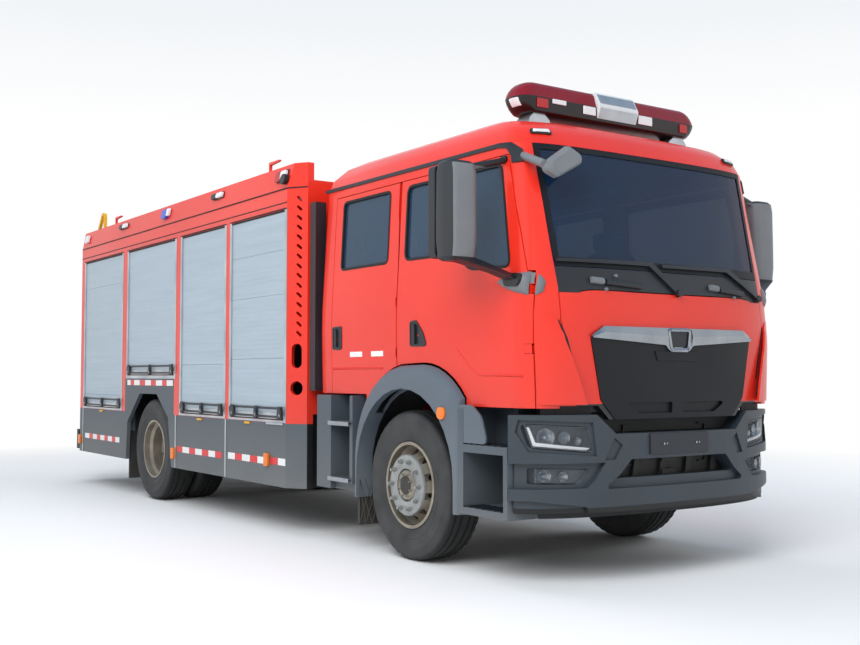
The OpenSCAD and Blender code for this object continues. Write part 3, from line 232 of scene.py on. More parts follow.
# Bare aluminium sheet: pale, slightly brushed, used on the roof, floor, ladder and trims.
plain_aluminium = finish("mill_aluminium", "#c3c9ce", "#aab1b7", 0.34, metal=0.9,
                         cloud=300, grain=2, depth=0.05)
# Chrome plate of the grille bar, lamp bowls and latches.
bright_trim = finish("bright_chrome", "#a4a9ae", "#979ca2", 0.14, metal=1.0, cloud=200, grain=9, depth=0.01)
# Black rubber of seals and flaps: matte, a little grey from the sun.
seal_rubber = finish("extruded_seal_rubber", "#131415", "#1c1d1e", 0.65, cloud=200, grain=3, depth=0.1)
flap_rubber = finish("flap_rubber", "#17181a", "#222325", 0.7, cloud=250, grain=5, depth=0.2,
                     dust=("#6c675e", 150, 700, 0.6))
# Powder coat on the grab rails and skirt catches, and the welded plastic of the tank.
rail_yellow = finish("yellow_powder_coat", "#e2a915", "#d99f12", 0.38, cloud=200, grain=3, depth=0.06)
tank_plastic = finish("welded_tank_plastic", "#878e95", "#7c838a", 0.55, cloud=600, grain=5, depth=0.1)
# White stove enamel of the speaker's frame in the beacon bar.
speaker_white = finish("white_stove_enamel", "#d9dde0", "#cfd4d8", 0.35, coat=0.3,
                       cloud=300, grain=4, depth=0.04)
print("finishes:", len(bpy.data.materials))

# %% [markdown]
# Glass on a truck is tinted and the cab behind it is dim. A thin pane reads best as a dark, glossy
# surface that lets part of what is behind it through, so the panes have an alpha below one and a smooth
# shader rather than full refraction, which would cost light and time for no visible gain. The coloured lamp
# lenses use the same function with an alpha of one.

# %% Glass and lamp lenses
def pane(name, colour, alpha, rough=0.02, ior=1.5):
    material, tree, where = blank(name)
    smear = noise(tree, where, 6.0, 5.0)
    deep = [v * 0.8 for v in linear(colour)[:3]] + [1.0]
    gloss = stretch(tree, smear, 0.0, 1.0, rough, rough + 0.05)
    cover(tree, mix(tree, smear, linear(colour), deep), {"Alpha": alpha, "IOR": ior, "Roughness": gloss})
    return material


# Laminated blue windscreen and tempered side glass: dark, smooth, faintly smeared.
screen_glass = pane("laminated_tinted_glass", "#0b2c4c", 0.62)
side_glass = pane("tempered_tinted_glass", "#264660", 0.72)
# Moulded polycarbonate lenses: clear for the lamps, deep red for the beacon hoods, amber for the markers.
clear_lens = pane("clear_polycarbonate", "#8d979e", 0.1, 0.03, 1.58)
red_lens = pane("red_polycarbonate", "#86081f", 0.92, 0.12, 1.45)
amber_lens = pane("amber_polycarbonate", "#f07a14", 1.0, 0.12, 1.58)
blue_lens = pane("blue_polycarbonate", "#1f4fc8", 1.0, 0.1, 1.58)
white_lens = pane("white_lamp_diffuser", "#e9edf0", 1.0, 0.15, 1.58)
tail_lens = pane("tail_lamp_polycarbonate", "#b3121a", 1.0, 0.12, 1.58)
mirror_glass = finish("silvered_mirror", "#d5dade", "#cbd1d6", 0.03, metal=1.0,
                      cloud=300, grain=9, depth=0.0)
print("panes:", screen_glass.name, side_glass.name, clear_lens.name)

# %% [markdown]
# Two finishes need a pattern of their own. The roller shutters are rows of extruded aluminium slats, so
# their colour is broken by fine lines across the curtain and by soft streaks between two bluish tones,
# a painted reflection of the sky. Tyre rubber is moulded in rings round the axle, and dust sits on the
# bulge of the sidewall.

# %% Shutter aluminium and tyre rubber
def slat_aluminium():
    material, tree, where = blank("slat_aluminium_with_painted_sky")
    drawn = add(tree, "ShaderNodeMapping", {"Vector": where, "Scale": (0.8, 0.8, 14.0)})
    streak = noise(tree, drawn.outputs["Vector"], 1.4, 5.0)
    # Brushing lines are under a tenth of a millimetre; drawn 2 mm apart so that the sheen shows.
    brush = add(tree, "ShaderNodeMapping", {"Vector": where, "Scale": (2.0, 2.0, 500.0)})
    lines = noise(tree, brush.outputs["Vector"], 1.0, 2.0)
    gloss = stretch(tree, streak, 0.0, 1.0, 0.36, 0.5)
    # The two bluish tones are a painted reflection of the sky, laid in random streaks.
    cover(tree, mix(tree, streak, linear("#9fb0bd"), linear("#b9c7d1")),
          {"Metallic": 0.45, "Roughness": gloss, "Normal": relief(tree, lines, 0.25, 0.0001)})
    return material


def tyre_rubber(name, axle_x):
    material, tree, where = blank(name)
    middle = (axle_x / 1000, 0.0, WHEEL_R / 1000)
    moved = add(tree, "ShaderNodeVectorMath", {0: where, 1: middle}, operation="SUBTRACT")
    flat = add(tree, "ShaderNodeVectorMath", {0: moved.outputs["Vector"], 1: (1.0, 0.0, 1.0)},
               operation="MULTIPLY")
    radius = add(tree, "ShaderNodeVectorMath", {0: flat.outputs["Vector"]},
                 operation="LENGTH").outputs["Value"]
    # Moulding rings about 9 mm apart on the sidewall.
    wave = reckon(tree, "SINE", reckon(tree, "MULTIPLY", radius, 2 * math.pi / 0.009))
    dusty = stretch(tree, noise(tree, where, 7.0, 6.0), 0.3, 0.75)
    wall = mix(tree, dusty, linear("#303131"), linear("#434344"))
    # The tread starts at the shoulder and is darker than the dusty wall.
    shown = mix(tree, stretch(tree, radius, 0.485, 0.505), wall, linear("#191a1a"))
    cover(tree, shown, {"Roughness": 0.72, "IOR": 1.52, "Normal": relief(tree, wave, 0.15, 0.001)})
    return material


shutter_slats = slat_aluminium()
front_rubber = tyre_rubber("moulded_front_tyre_rubber", AXLE_X)
rear_rubber = tyre_rubber("moulded_rear_tyre_rubber", AXLE_X + REAR_X)
print("patterned finishes:", shutter_slats.name, front_rubber.name)

# %% [markdown]
# Solids from CAD come in as flat triangles. A small geometry node group welds them and shades every edge
# that is blunter than a chosen angle as smooth, so the cab's curves look rolled while real folds stay
# crisp. The mesh itself is never touched: the group is a modifier.

# %% Smooth shading for the solids
def rolled_shading(angle):
    group = bpy.data.node_groups.new("rolled_shading_%d" % round(math.degrees(angle)), "GeometryNodeTree")
    group.interface.new_socket("Geometry", in_out="INPUT", socket_type="NodeSocketGeometry")
    group.interface.new_socket("Geometry", in_out="OUTPUT", socket_type="NodeSocketGeometry")
    source = add(group, "NodeGroupInput")
    plain = add(group, "GeometryNodeRemoveAttribute",
                {"Geometry": source.outputs[0], "Name": "custom_normal"})
    weld = add(group, "GeometryNodeMergeByDistance", {"Geometry": plain.outputs[0], "Distance": 0.00005})
    fold = add(group, "GeometryNodeInputMeshEdgeAngle")
    blunt = add(group, "FunctionNodeCompare", {"A": fold.outputs["Unsigned Angle"], "B": angle},
                data_type="FLOAT", operation="LESS_THAN")
    faces = add(group, "GeometryNodeSetShadeSmooth",
                {"Geometry": weld.outputs[0], "Shade Smooth": True}, domain="FACE")
    edges = add(group, "GeometryNodeSetShadeSmooth", {"Geometry": faces.outputs[0],
                "Shade Smooth": blunt.outputs["Result"]}, domain="EDGE")
    add(group, "NodeGroupOutput", {0: edges.outputs[0]})
    return group


rolled = rolled_shading(math.radians(32))
finish_of = {
    enamel_red: "cab_sides cab_roof cab_rear_wall body_sides body_ends door_front_right door_front_left "
                "door_rear_right door_rear_left",
    flap_red: "front_flap",
    bumper_grey: "bumper",
    moulded_grey: "entry_steps",
    arch_grey: "wheel_arches",
    skirt_grey: "skirts",
    moulded_black: "cab_floor cab_front steering_wheel wipers air_intake lift_bars",
    beacon_shell: "light_bar",
    grille_black: "grille",
    bright_trim: "grille_bar",
    mirror_grey: "front_mirror",
    door_mirror_grey: "mirror_right mirror_left",
    chassis_black: "chassis_frame leaf_springs rear_step",
    cast_iron: "engine front_axle rear_axle propeller_shaft knuckle_right knuckle_left track_rod",
    wheel_steel: "rim_front_right rim_front_left rim_rear_right rim_rear_left",
    plain_aluminium: "body_floor body_roof ladder",
    shutter_slats: "shutters",
    screen_glass: "windscreen",
    side_glass: "glass_front_right glass_front_left glass_rear_right glass_rear_left",
    red_lens: "light_bar_lens",
    rail_yellow: "grab_rails",
    flap_rubber: "mud_flaps",
    tank_plastic: "water_tank",
    seal_rubber: "seats head_lamps body_lamps",
    front_rubber: "tyre_front_right tyre_front_left",
    rear_rubber: "tyre_rear_right tyre_rear_left",
}
for material, names in finish_of.items():
    for name in names.split():
        solid = nodes[name]
        solid.data.materials.clear()
        solid.data.materials.append(material)
        shading = solid.modifiers.new("rolled_shading", "NODES")
        shading.node_group = rolled
print("solids dressed:", sum(len(n.split()) for n in finish_of.values()))

# %% [markdown]
# The small fittings are meshes made in code. A few helpers do nearly all of it: an outline pushed along
# an axis, a box, a tube along a path, an outline with rounded corners and a mirrored copy for the other
# side. The last one turns the mesh into an object, rounds its edges a little so that they catch light,
# and lets it ride on the body that carries it.

# %% Mesh helpers
def place(x, y, z):
    return Vector(((AXLE_X + x) / 1000, y / 1000, z / 1000))


def prism(bm, outline, axis, a, b):
    put = {"x": lambda p, q: place(q, p[0], p[1]), "y": lambda p, q: place(p[0], q, p[1]),
           "z": lambda p, q: place(p[0], p[1], q)}[axis]
    rings = [[bm.verts.new(put(p, q)) for p in outline] for q in (a, b)]
    count = len(outline)
    bm.faces.new(rings[0])
    bm.faces.new(list(reversed(rings[1])))
    for i in range(count):
        j = (i + 1) % count
        bm.faces.new((rings[0][j], rings[0][i], rings[1][i], rings[1][j]))


def box(bm, x0, y0, z0, x1, y1, z1):
    prism(bm, [(x0, z0), (x1, z0), (x1, z1), (x0, z1)], "y", y0, y1)


def tube(bm, path, radius, sides):
    points = [place(*p) for p in path]
    rings = []
    normal = None
    for i, point in enumerate(points):
        along = (points[min(i + 1, len(points) - 1)] - points[max(i - 1, 0)]).normalized()
        if normal is None:
            normal = along.orthogonal().normalized()
        normal = (normal - along * normal.dot(along)).normalized()
        side = along.cross(normal)
        rings.append([bm.verts.new(point + (normal * math.cos(a) + side * math.sin(a)) * radius / 1000)
                      for a in (2 * math.pi * k / sides for k in range(sides))])
    for one, two in zip(rings, rings[1:]):
        for k in range(sides):
            bm.faces.new((one[k], one[(k + 1) % sides], two[(k + 1) % sides], two[k]))
    bm.faces.new(list(reversed(rings[0])))
    bm.faces.new(rings[-1])


def rounded(points, radius, steps=4):
    outline = []
    count = len(points)
    for i in range(count):
        p, a, b = Vector(points[i]), Vector(points[i - 1]), Vector(points[(i + 1) % count])
        ua, ub = (a - p).normalized(), (b - p).normalized()
        reach = min(radius, (a - p).length * 0.48, (b - p).length * 0.48)
        for k in range(steps + 1):
            t = k / steps
            q = p + ua * reach * (1 - t) ** 2 + ub * reach * t ** 2
            outline.append((q.x, q.y))
    return outline


def panel(x0, z0, x1, z1, radius, steps=4):
    return rounded([(x0, z0), (x1, z0), (x1, z1), (x0, z1)], radius, steps)


def both(bm):
    copy = bmesh.ops.duplicate(bm, geom=bm.verts[:] + bm.edges[:] + bm.faces[:])["geom"]
    verts = [g for g in copy if isinstance(g, bmesh.types.BMVert)]
    bmesh.ops.transform(bm, matrix=Matrix.Scale(-1, 4, (0, 1, 0)), verts=verts)


def piece(bm, name, material, body="chassis", edge=1.5, angle=35):
    bmesh.ops.recalc_face_normals(bm, faces=bm.faces[:])
    mesh = bpy.data.meshes.new(name)
    bm.to_mesh(mesh)
    bm.free()
    mesh.materials.append(material)
    mesh.polygons.foreach_set("use_smooth", [True] * len(mesh.polygons))
    mesh.set_sharp_from_angle(angle=math.radians(angle))
    thing = bpy.data.objects.new(name, mesh)
    bpy.context.scene.collection.objects.link(thing)
    if edge:
        soft = thing.modifiers.new("soft_edges", "BEVEL")
        soft.width = edge / 1000
        soft.segments = 2
        soft.limit_method = "ANGLE"
        soft.angle_limit = math.radians(40)
        soft.harden_normals = True
    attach(thing, body)
    return thing


SIDES = (("right", -1), ("left", 1))
print("helpers ready")

# %% [markdown]
# A truck tyre is a turned profile with four grooves round the tread, small cross cuts on the shoulders
# and raised rings on the sidewall. Every third step of the turn is sunk a little at the shoulder, which
# gives the cross cuts without any boolean. The new tyres stand for the plain ones in the frame.

# %% Tyres
FRONT_Y = 975
REAR_Y = 1072
TWIN_PITCH = 335
STEPS = 144
CROSS_CUT = 5
# Half of the profile: radius and distance from the tyre's middle, from the bead to the tread.
HALF = [(287, 112), (300, 113), (304, 124), (316, 131), (326, 133), (332, 137), (360, 143), (366, 146),
        (372, 143), (400, 148), (436, 149), (442, 151), (448, 148), (468, 143), (486, 133), (497, 126),
        (506, 118), (512, 104), (514, 92), (503, 88), (503, 78), (514.5, 74), (515, 50), (515, 42),
        (503, 38), (503, 28), (515, 24)]
INSIDE = [(290, 60), (290, -60)]
PROFILE = [(r, -h) for r, h in HALF] + [(WHEEL_R, 0)] + HALF[::-1] + INSIDE


def tyre(bm, x, y):
    rings = []
    for k in range(STEPS):
        a = 2 * math.pi * k / STEPS
        ring = []
        for r, h in PROFILE:
            if k % 3 == 0 and 497 <= r <= 514 and abs(h) > 90:
                r -= CROSS_CUT
            ring.append(bm.verts.new(place(x + r * math.cos(a), y + h, WHEEL_R + r * math.sin(a))))
        rings.append(ring)
    count = len(PROFILE)
    for k in range(STEPS):
        one, two = rings[k], rings[(k + 1) % STEPS]
        for i in range(count):
            bm.faces.new((one[i], one[(i + 1) % count], two[(i + 1) % count], two[i]))


for side, s in SIDES:
    bm = bmesh.new()
    tyre(bm, 0, s * FRONT_Y)
    front = piece(bm, "tread_tyre_front_" + side, front_rubber, "wheel_front_" + side, 0, 24)
    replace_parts(front, "tyre_front_" + side)
    bm = bmesh.new()
    tyre(bm, REAR_X, s * REAR_Y)
    tyre(bm, REAR_X, s * (REAR_Y - TWIN_PITCH))
    rear = piece(bm, "tread_tyres_rear_" + side, rear_rubber, "wheel_rear_" + side, 0, 24)
    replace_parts(rear, "tyre_rear_" + side)
print("tyres: six")

# %% [markdown]
# The wheel nuts sit on the bolt circle of a heavy truck wheel, ten of them on a circle of about 335 mm. A
# nut is a hexagon with a stub of stud. On the front wheels they stand on a turned flange, and the hub's
# end has a ring of small bolts round a dark cap.

# %% Wheel nuts and hubs
BOLT_R = 167
HUB_BOLT_R = 78
FLANGE_Y = FRONT_Y + 138
NUT_Y = FRONT_Y + 156
HUB_END_Y = FRONT_Y + 160
REAR_NUT_Y = 916.5


def disc(x, z, radius, count):
    turns = [2 * math.pi * k / count for k in range(count)]
    return [(x + radius * math.cos(a), z + radius * math.sin(a)) for a in turns]


def nut(bm, x, y, z, s, size, tall):
    prism(bm, disc(x, z, size, 6), "y", y, y + s * tall)
    prism(bm, disc(x, z, size * 0.62, 12), "y", y + s * tall, y + s * (tall + 16))


def nut_ring(bm, x, y, s, radius, count, turn=0.0, size=17, tall=24):
    for k in range(count):
        a = 2 * math.pi * (k + turn) / count
        nut(bm, x + radius * math.cos(a), s * y, WHEEL_R + radius * math.sin(a), s, size, tall)


def flange(bm, profile, y, s):
    rings = []
    count = 60
    for a in (2 * math.pi * k / count for k in range(count)):
        spots = [place(r * math.cos(a), s * (y + h), WHEEL_R + r * math.sin(a)) for r, h in profile]
        rings.append([bm.verts.new(p) for p in spots])
    for k in range(count):
        for i in range(len(profile)):
            bm.faces.new((rings[k - 1][i - 1], rings[k - 1][i], rings[k][i], rings[k][i - 1]))


for side, s in SIDES:
    bm = bmesh.new()
    flange(bm, [(112, -2), (112, 16), (122, 21), (194, 21), (208, 13), (213, -2)], FLANGE_Y, s)
    nut_ring(bm, 0, NUT_Y, s, BOLT_R, 10)
    nut_ring(bm, 0, HUB_END_Y, s, HUB_BOLT_R, 8, 0.5, 8, 7)
    piece(bm, "wheel_nuts_front_" + side, hub_steel, "wheel_front_" + side, 1)
    bm = bmesh.new()
    flange(bm, [(2, 0), (2, 5), (58, 5), (66, 0)], HUB_END_Y, s)
    piece(bm, "hub_cap_front_" + side, cast_iron, "wheel_front_" + side, 0)
    bm = bmesh.new()
    nut_ring(bm, REAR_X, REAR_NUT_Y, s, BOLT_R, 10)
    piece(bm, "wheel_nuts_rear_" + side, wheel_steel, "wheel_rear_" + side, 1)
print("wheel nuts: forty")

# %% [markdown]
# Trims on the cab follow its skin. The cab was drawn as a stack of rounded outlines, so the same rows
# give the skin here: the flank tells how far out the side is at a place, the brow how far forward the
# front is. Both lift a point off the skin along its own slope, so that a seal or a lamp sits on the metal
# at any height.

# %% The cab's skin
CAB_HALF = 1120
ROUND = 3.1
# Height of a row, how far its sides draw in, how far forward its nose is and how deep its rounding runs.
ROWS = ((1000, 14, 1440, 310), (1480, 2, 1452, 310), (1640, 0, 1446, 300), (1800, 3, 1424, 280),
        (2715, 52, 1226, 200), (2800, 74, 1186, 205), (2880, 140, 1096, 230), (2930, 235, 950, 280),
        (2955, 400, 700, 330))


def row(z):
    for a, b in zip(ROWS, ROWS[1:]):
        if z <= b[0] or b is ROWS[-1]:
            t = (z - a[0]) / (b[0] - a[0])
            return [p + (q - p) * t for p, q in zip(a, b)][1:]


def side_y(x, z):
    cut, nose, depth = row(z)
    u = min(max((x - nose + depth) / depth, 0), 0.999)
    return (CAB_HALF - cut) * (1 - u ** ROUND) ** (1 / ROUND)


def front_x(y, z):
    cut, nose, depth = row(z)
    u = min(abs(y) / (CAB_HALF - cut), 0.999)
    return nose - depth + depth * (1 - u ** ROUND) ** (1 / ROUND)


def steepness(skin, a, b):
    return -(skin(a + 2, b) - skin(a - 2, b)) / 4, -(skin(a, b + 2) - skin(a, b - 2)) / 4


def flank(x, z, lift, s):
    dx, dz = steepness(side_y, x, z)
    out = Vector((dx, 1, dz)).normalized()
    return x + out.x * lift, s * (side_y(x, z) + out.y * lift), z + out.z * lift


def brow(y, z, lift=0.0):
    out = Vector((1, *steepness(front_x, y, z))).normalized()
    return front_x(y, z) + out.x * lift, y + out.y * lift, z + out.z * lift


def chain(points, step):
    path = [points[0]]
    for a, b in zip(points, points[1:]):
        n = max(1, round(math.dist(a, b) / step))
        path += [tuple(p + (q - p) * k / n for p, q in zip(a, b)) for k in range(1, n + 1)]
    return path


def band(bm, skin, one, two, under, over, closed=False, crown=0.0):
    rings = []
    for p, q in zip(one, two):
        middle = tuple((a + b) / 2 for a, b in zip(p, q))
        spots = [skin(*p, under), skin(*p, over), skin(*middle, over + crown), skin(*q, over),
                 skin(*q, under)]
        rings.append([bm.verts.new(place(*v)) for v in spots])
    count = len(rings)
    for i in range(count if closed else count - 1):
        a, b = rings[i], rings[(i + 1) % count]
        for k in range(5):
            bm.faces.new((a[k], a[(k + 1) % 5], b[(k + 1) % 5], b[k]))
    if not closed:
        bm.faces.new(list(reversed(rings[0])))
        bm.faces.new(rings[-1])


def sheet(top, bottom, rows=6):
    def across(p, q, k):
        return tuple(a + (b - a) * k / rows for a, b in zip(p, q))
    return [[across(p, q, k) for p, q in zip(top, bottom)] for k in range(rows + 1)]


def shell(bm, skin, grid, over, under=lambda u, v: -3):
    rows, cols = len(grid), len(grid[0])
    faces = []
    for lift in (over, under):
        level = []
        for j in range(rows):
            spots = [skin(*grid[j][i], lift(i / (cols - 1), j / (rows - 1))) for i in range(cols)]
            level.append([bm.verts.new(place(*p)) for p in spots])
        faces.append(level)
        for j in range(rows - 1):
            for i in range(cols - 1):
                bm.faces.new((level[j][i], level[j][i + 1], level[j + 1][i + 1], level[j + 1][i]))
    rim = [(0, i) for i in range(cols)] + [(j, cols - 1) for j in range(1, rows)]
    rim += [(rows - 1, i) for i in range(cols - 2, -1, -1)] + [(j, 0) for j in range(rows - 2, 0, -1)]
    for (j, i), (m, n) in zip(rim, rim[1:] + rim[:1]):
        bm.faces.new((faces[0][j][i], faces[1][j][i], faces[1][m][n], faces[0][m][n]))


def fill(bm, skin, top, bottom, under, over):
    shell(bm, skin, sheet(top, bottom), lambda u, v: over, lambda u, v: under)


def inset(points, d):
    count = len(points)
    area = sum(points[i - 1][0] * points[i][1] - points[i][0] * points[i - 1][1] for i in range(count))
    turn = 1 if area > 0 else -1
    result = []
    for i in range(count):
        p, a, b = Vector(points[i]), Vector(points[i - 1]), Vector(points[(i + 1) % count])
        ea, eb = (p - a).normalized(), (b - p).normalized()
        na, nb = Vector((-ea.y, ea.x)) * turn, Vector((-eb.y, eb.x)) * turn
        q = p + (na + nb) / max(1 + na.dot(nb), 0.3) * d
        result.append((q.x, q.y))
    return result


print("cab half width at the door", round(side_y(0, 1700)), "mm, front at the screen",
      round(front_x(0, 2300)))

# %% [markdown]
# Roller shutters close each locker. A curtain is a stack of flat slats with a thin joint between them, it
# runs in bright guide rails, and a lift bar hooks over its lower edge. A few joints stand open wider than
# the rest; those are the lines that show from afar.

# %% Shutter curtains and guide rails
# Rear and front edge of each bay, its sill and the heights of its open joints.
BAYS = ((-2630, -1599, 907, (2313, 1958, 1432)), (-3775, -2768, 907, (1394,)), (-5287, -3947, 1271, ()),
        (-6775, -5482, 907, (2289, 1061)))
TOP = 2614
SLAT = 40
# Height of the lift bar that closes a curtain's lower edge.
FOOT = 62
# The plane of the curtains, a hair outside the body's right wall, and a hair behind the body's rear face.
CURTAIN_Y = -1238
WALL_Y = -1250.2
BACK_X = -6926


def curtain(bm, a, b, sill, wide, put):
    z = sill + FOOT
    spots = []
    while z < TOP - 1:
        end = min(z + SLAT, TOP)
        gap = 5 if any(z <= w < end for w in wide) else 1.2
        spots += [(z, 1 if gap > 2 else 4.2), (z + gap, 5), (end - 0.6, 5)]
        z = end
    spots += [(TOP, 0.8), (TOP, -1), (sill + FOOT, -1)]
    left = [bm.verts.new(put(a, z, lift)) for z, lift in spots]
    right = [bm.verts.new(put(b, z, lift)) for z, lift in spots]
    for i in range(len(spots)):
        bm.faces.new((left[i - 1], right[i - 1], right[i], left[i]))
    bm.faces.new(left)
    bm.faces.new(right[::-1])


def wall(x, z, lift):
    return place(x, CURTAIN_Y - lift, z)


bm = bmesh.new()
for a, b, sill, wide in BAYS:
    curtain(bm, a + 1, b - 1, sill, wide, wall)
both(bm)
# The rear curtain lies a little inside the body's rear face.
curtain(bm, -599, 999, 1100, (1700, 2200), lambda y, z, lift: place(BACK_X + 13 - lift, y, z))
piece(bm, "shutter_slats", shutter_slats, edge=0, angle=15)

bm = bmesh.new()
for a, b, sill, wide in BAYS:
    for x0, x1 in ((a - 30, a + 6), (b - 8, b + 34)):
        box(bm, x0, -1239.5, sill - 8, x1, -1253.5, TOP + 4)
    box(bm, a + 6, -1238.5, sill, b - 6, -1247, sill + 60)
    box(bm, a - 30, WALL_Y, sill - 34 if sill > 1000 else 886, b + 34, -1255, sill - 2)
both(bm)
piece(bm, "shutter_rails", plain_aluminium, edge=2)

bm = bmesh.new()
for a, b, sill, wide in BAYS:
    box(bm, a - 20, WALL_Y, TOP + 4, b + 20, -1262, TOP + 12)
    box(bm, a + 6, -1239, TOP - 14, b - 6, -1249, TOP + 3)
    box(bm, a + 8, -1239, sill - 2, b - 8, -1250, sill + 8)
box(bm, -6922, WALL_Y, 2668, -1572, -1254, 2676)
gutter = [(-6922, WALL_Y), (-1567, WALL_Y), (-1411, -1146), (-1408, -1150), (-1565, -1255.5),
          (-6922, -1255.5)]
prism(bm, gutter, "z", 2781, 2791)
both(bm)
piece(bm, "shutter_seals", seal_rubber, edge=1.5)

bm = bmesh.new()
for a, b, sill, wide in BAYS:
    for x, w in ((a + 40, 34), ((a + b) / 2, 30), (b - 70, 44)):
        hook = [(x - w, sill + 8), (x + w, sill + 8), (x + w * 0.6, sill + 104), (x - w * 0.7, sill + 112)]
        prism(bm, rounded(hook, 12), "y", -1247.5, -1263)
        strap = [(x - 12, -1262, sill + 100), (x + w + 26, -1270, sill + 108),
                 (x + w + 44, -1268, sill + 60), (x + w + 18, -1264, sill + 16)]
        tube(bm, strap, 5, 8)
both(bm)
piece(bm, "shutter_hooks", moulded_black, edge=2)

bm = bmesh.new()
for a, b, sill, wide in BAYS:
    for x in (a + 52, (a + b) / 2 + 6, b - 58):
        prism(bm, panel(x - 8, sill + 26, x + 10, sill + 50, 5), "y", -1262, -1267)
    for x in (a - 8, b + 8):
        prism(bm, panel(x - 9, sill + 40, x + 9, sill + 92, 6), "y", -1253, -1262)
both(bm)
piece(bm, "shutter_latches", bright_trim, edge=1)
print("curtains:", len(BAYS) * 2 + 1)

# %% [markdown]
# Conspicuity tape runs along the lower edge in red and white blocks. Real tape is a sheet of tiny prisms
# under a clear film, which gives it a cell pattern that is just visible close up, so the material carries
# small cells.

# %% Tape, seams and marker lamps
def prismatic(name, colour, second):
    material, tree, where = blank(name)
    # Prism cells of 3 mm.
    cells = add(tree, "ShaderNodeTexVoronoi", {"Vector": where, "Scale": 330.0}).outputs["Distance"]
    cover(tree, mix(tree, cells, linear(colour), linear(second)),
          {"Roughness": 0.3, "IOR": 1.49, "Normal": relief(tree, cells, 0.2, 0.0002)})
    return material


tape_red = prismatic("red_prismatic_tape", "#e31f26", "#c9161d")
tape_white = prismatic("white_prismatic_tape", "#f1f2f1", "#d9dbda")
# Start of a run of tape, its lower and upper edge, the colour of each block and where each block ends.
TAPES = ((-2669, 538, 594, "wrwrw", (-2523, -2381, -2223, -2078, -1928)),
         (-1836, 545, 601, "rw", (-1701, -1570)),
         (-3854, 530, 586, "rwrwrwr", (-3715, -3548, -3403, -3245, -3096, -2945, -2797)),
         (-6717, 534, 591, "wrwrwrwrw", (-6557, -6427, -6282, -6157, -6016, -5895, -5760, -5643, -5512)),
         (-5280, 1166, 1222, "wrwrwrwrw", (-5179, -5072, -4905, -4742, -4576, -4435, -4263, -4141, -3976)))
for key, name, material in (("r", "tape_red_blocks", tape_red), ("w", "tape_white_blocks", tape_white)):
    bm = bmesh.new()
    for start, z0, z1, code, ends in TAPES:
        for letter, end in zip(code, ends):
            if letter == key:
                box(bm, start + 2, WALL_Y, z0, end - 2, -1251.8, z1)
            start = end
    both(bm)
    piece(bm, name, material, edge=0)

bm = bmesh.new()
for x, z0, z1 in ((-3893, 372, 884), (-2723, 372, 884), (-6800, 376, 884)):
    box(bm, x - 11, WALL_Y, z0, x + 11, -1255, z1)
box(bm, -1904, WALL_Y, 868, -1603, -1262, 886)
both(bm)
piece(bm, "skirt_seam_strips", plain_aluminium, edge=1.5)

bm = bmesh.new()
for x, z in ((-3298, 862), (-2272, 868), (-6120, 866)):
    prism(bm, panel(x - 50, z - 9, x + 50, z + 9, 8), "y", WALL_Y, -1264)
both(bm)
piece(bm, "skirt_catches", rail_yellow, edge=2)

bm = bmesh.new()
for x, z in ((-1886, 577), (-3935, 512), (-6880, 512)):
    prism(bm, panel(x - 36, z - 54, x + 36, z + 54, 14), "y", WALL_Y, -1276)
both(bm)
markers = piece(bm, "side_marker_lenses", amber_lens, edge=5)
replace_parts(markers, "body_lamps")

# The parapet leans in by 36 mm over its 199 mm of height.
LEAN = 36 / 199
PARAPET_Z = 2786


def parapet(x, z, lift):
    return x, -1250 + (z - PARAPET_Z) * LEAN - lift, z


def slanted(bm, outline, under, over):
    rings = [[bm.verts.new(place(*parapet(x, z, lift))) for x, z in outline] for lift in (under, over)]
    count = len(outline)
    bm.faces.new(rings[0])
    bm.faces.new(list(reversed(rings[1])))
    for i in range(count):
        j = (i + 1) % count
        bm.faces.new((rings[0][j], rings[0][i], rings[1][i], rings[1][j]))


bm = bmesh.new()
for x0, x1, z0, z1 in ((-2975, -2850, 2888, 2936), (-5500, -5375, 2890, 2938), (-4190, -4128, 2868, 2946),
                       (-1680, -1590, 2866, 2940), (-6790, -6690, 2850, 2940)):
    slanted(bm, panel(x0, z0, x1, z1, 20), 4, 34)
both(bm)
piece(bm, "parapet_lamp_lenses", white_lens, edge=6)
bm = bmesh.new()
for x0, x1, z0, z1 in ((-3085, -2978, 2886, 2938), (-5610, -5503, 2888, 2940)):
    slanted(bm, panel(x0, z0, x1, z1, 18), 0, 30)
    slanted(bm, panel(x0, z0 - 6, x1 + 136, z1 + 6, 24), 0, 8)
slanted(bm, panel(-1770, 2850, -1580, 2948, 10), 0, 10)
slanted(bm, disc(-1600, 2862, 44, 16), 4, 46)
both(bm)
piece(bm, "parapet_lamp_bases", moulded_black, edge=4)
bm = bmesh.new()
slanted(bm, panel(-4310, 2850, -4192, 2946, 10), 0, 36)
both(bm)
piece(bm, "parapet_blue_lenses", blue_lens, edge=5)
bm = bmesh.new()
slanted(bm, panel(-1765, 2856, -1684, 2942, 12), 10, 34)
both(bm)
box(bm, BACK_X, 1110, 960, BACK_X - 22, 1200, 1056)
box(bm, BACK_X, -1200, 960, BACK_X - 22, -1110, 1056)
piece(bm, "red_lamp_lenses", tail_lens, edge=5)
for name, lens, z0, z1, slot in (("rear_turn_lenses", amber_lens, 850, 950, None),
                                 ("rear_reversing_lenses", white_lens, 724, 840, "lamp_clear")):
    bm = bmesh.new()
    for s in (-1, 1):
        box(bm, BACK_X, s * 1110, z0, BACK_X - 22, s * 1200, z1)
    piece(bm, name, lens, edge=5)
print("tape blocks:", sum(len(t[3]) for t in TAPES) * 2)

# %% [markdown]
# Rubber seals frame every window, a drip rail runs along the roof, and the mirror arm ends in a
# streamlined boss that is split by the door's edge: its rear half opens with the door. The doors carry
# black handle bowls.

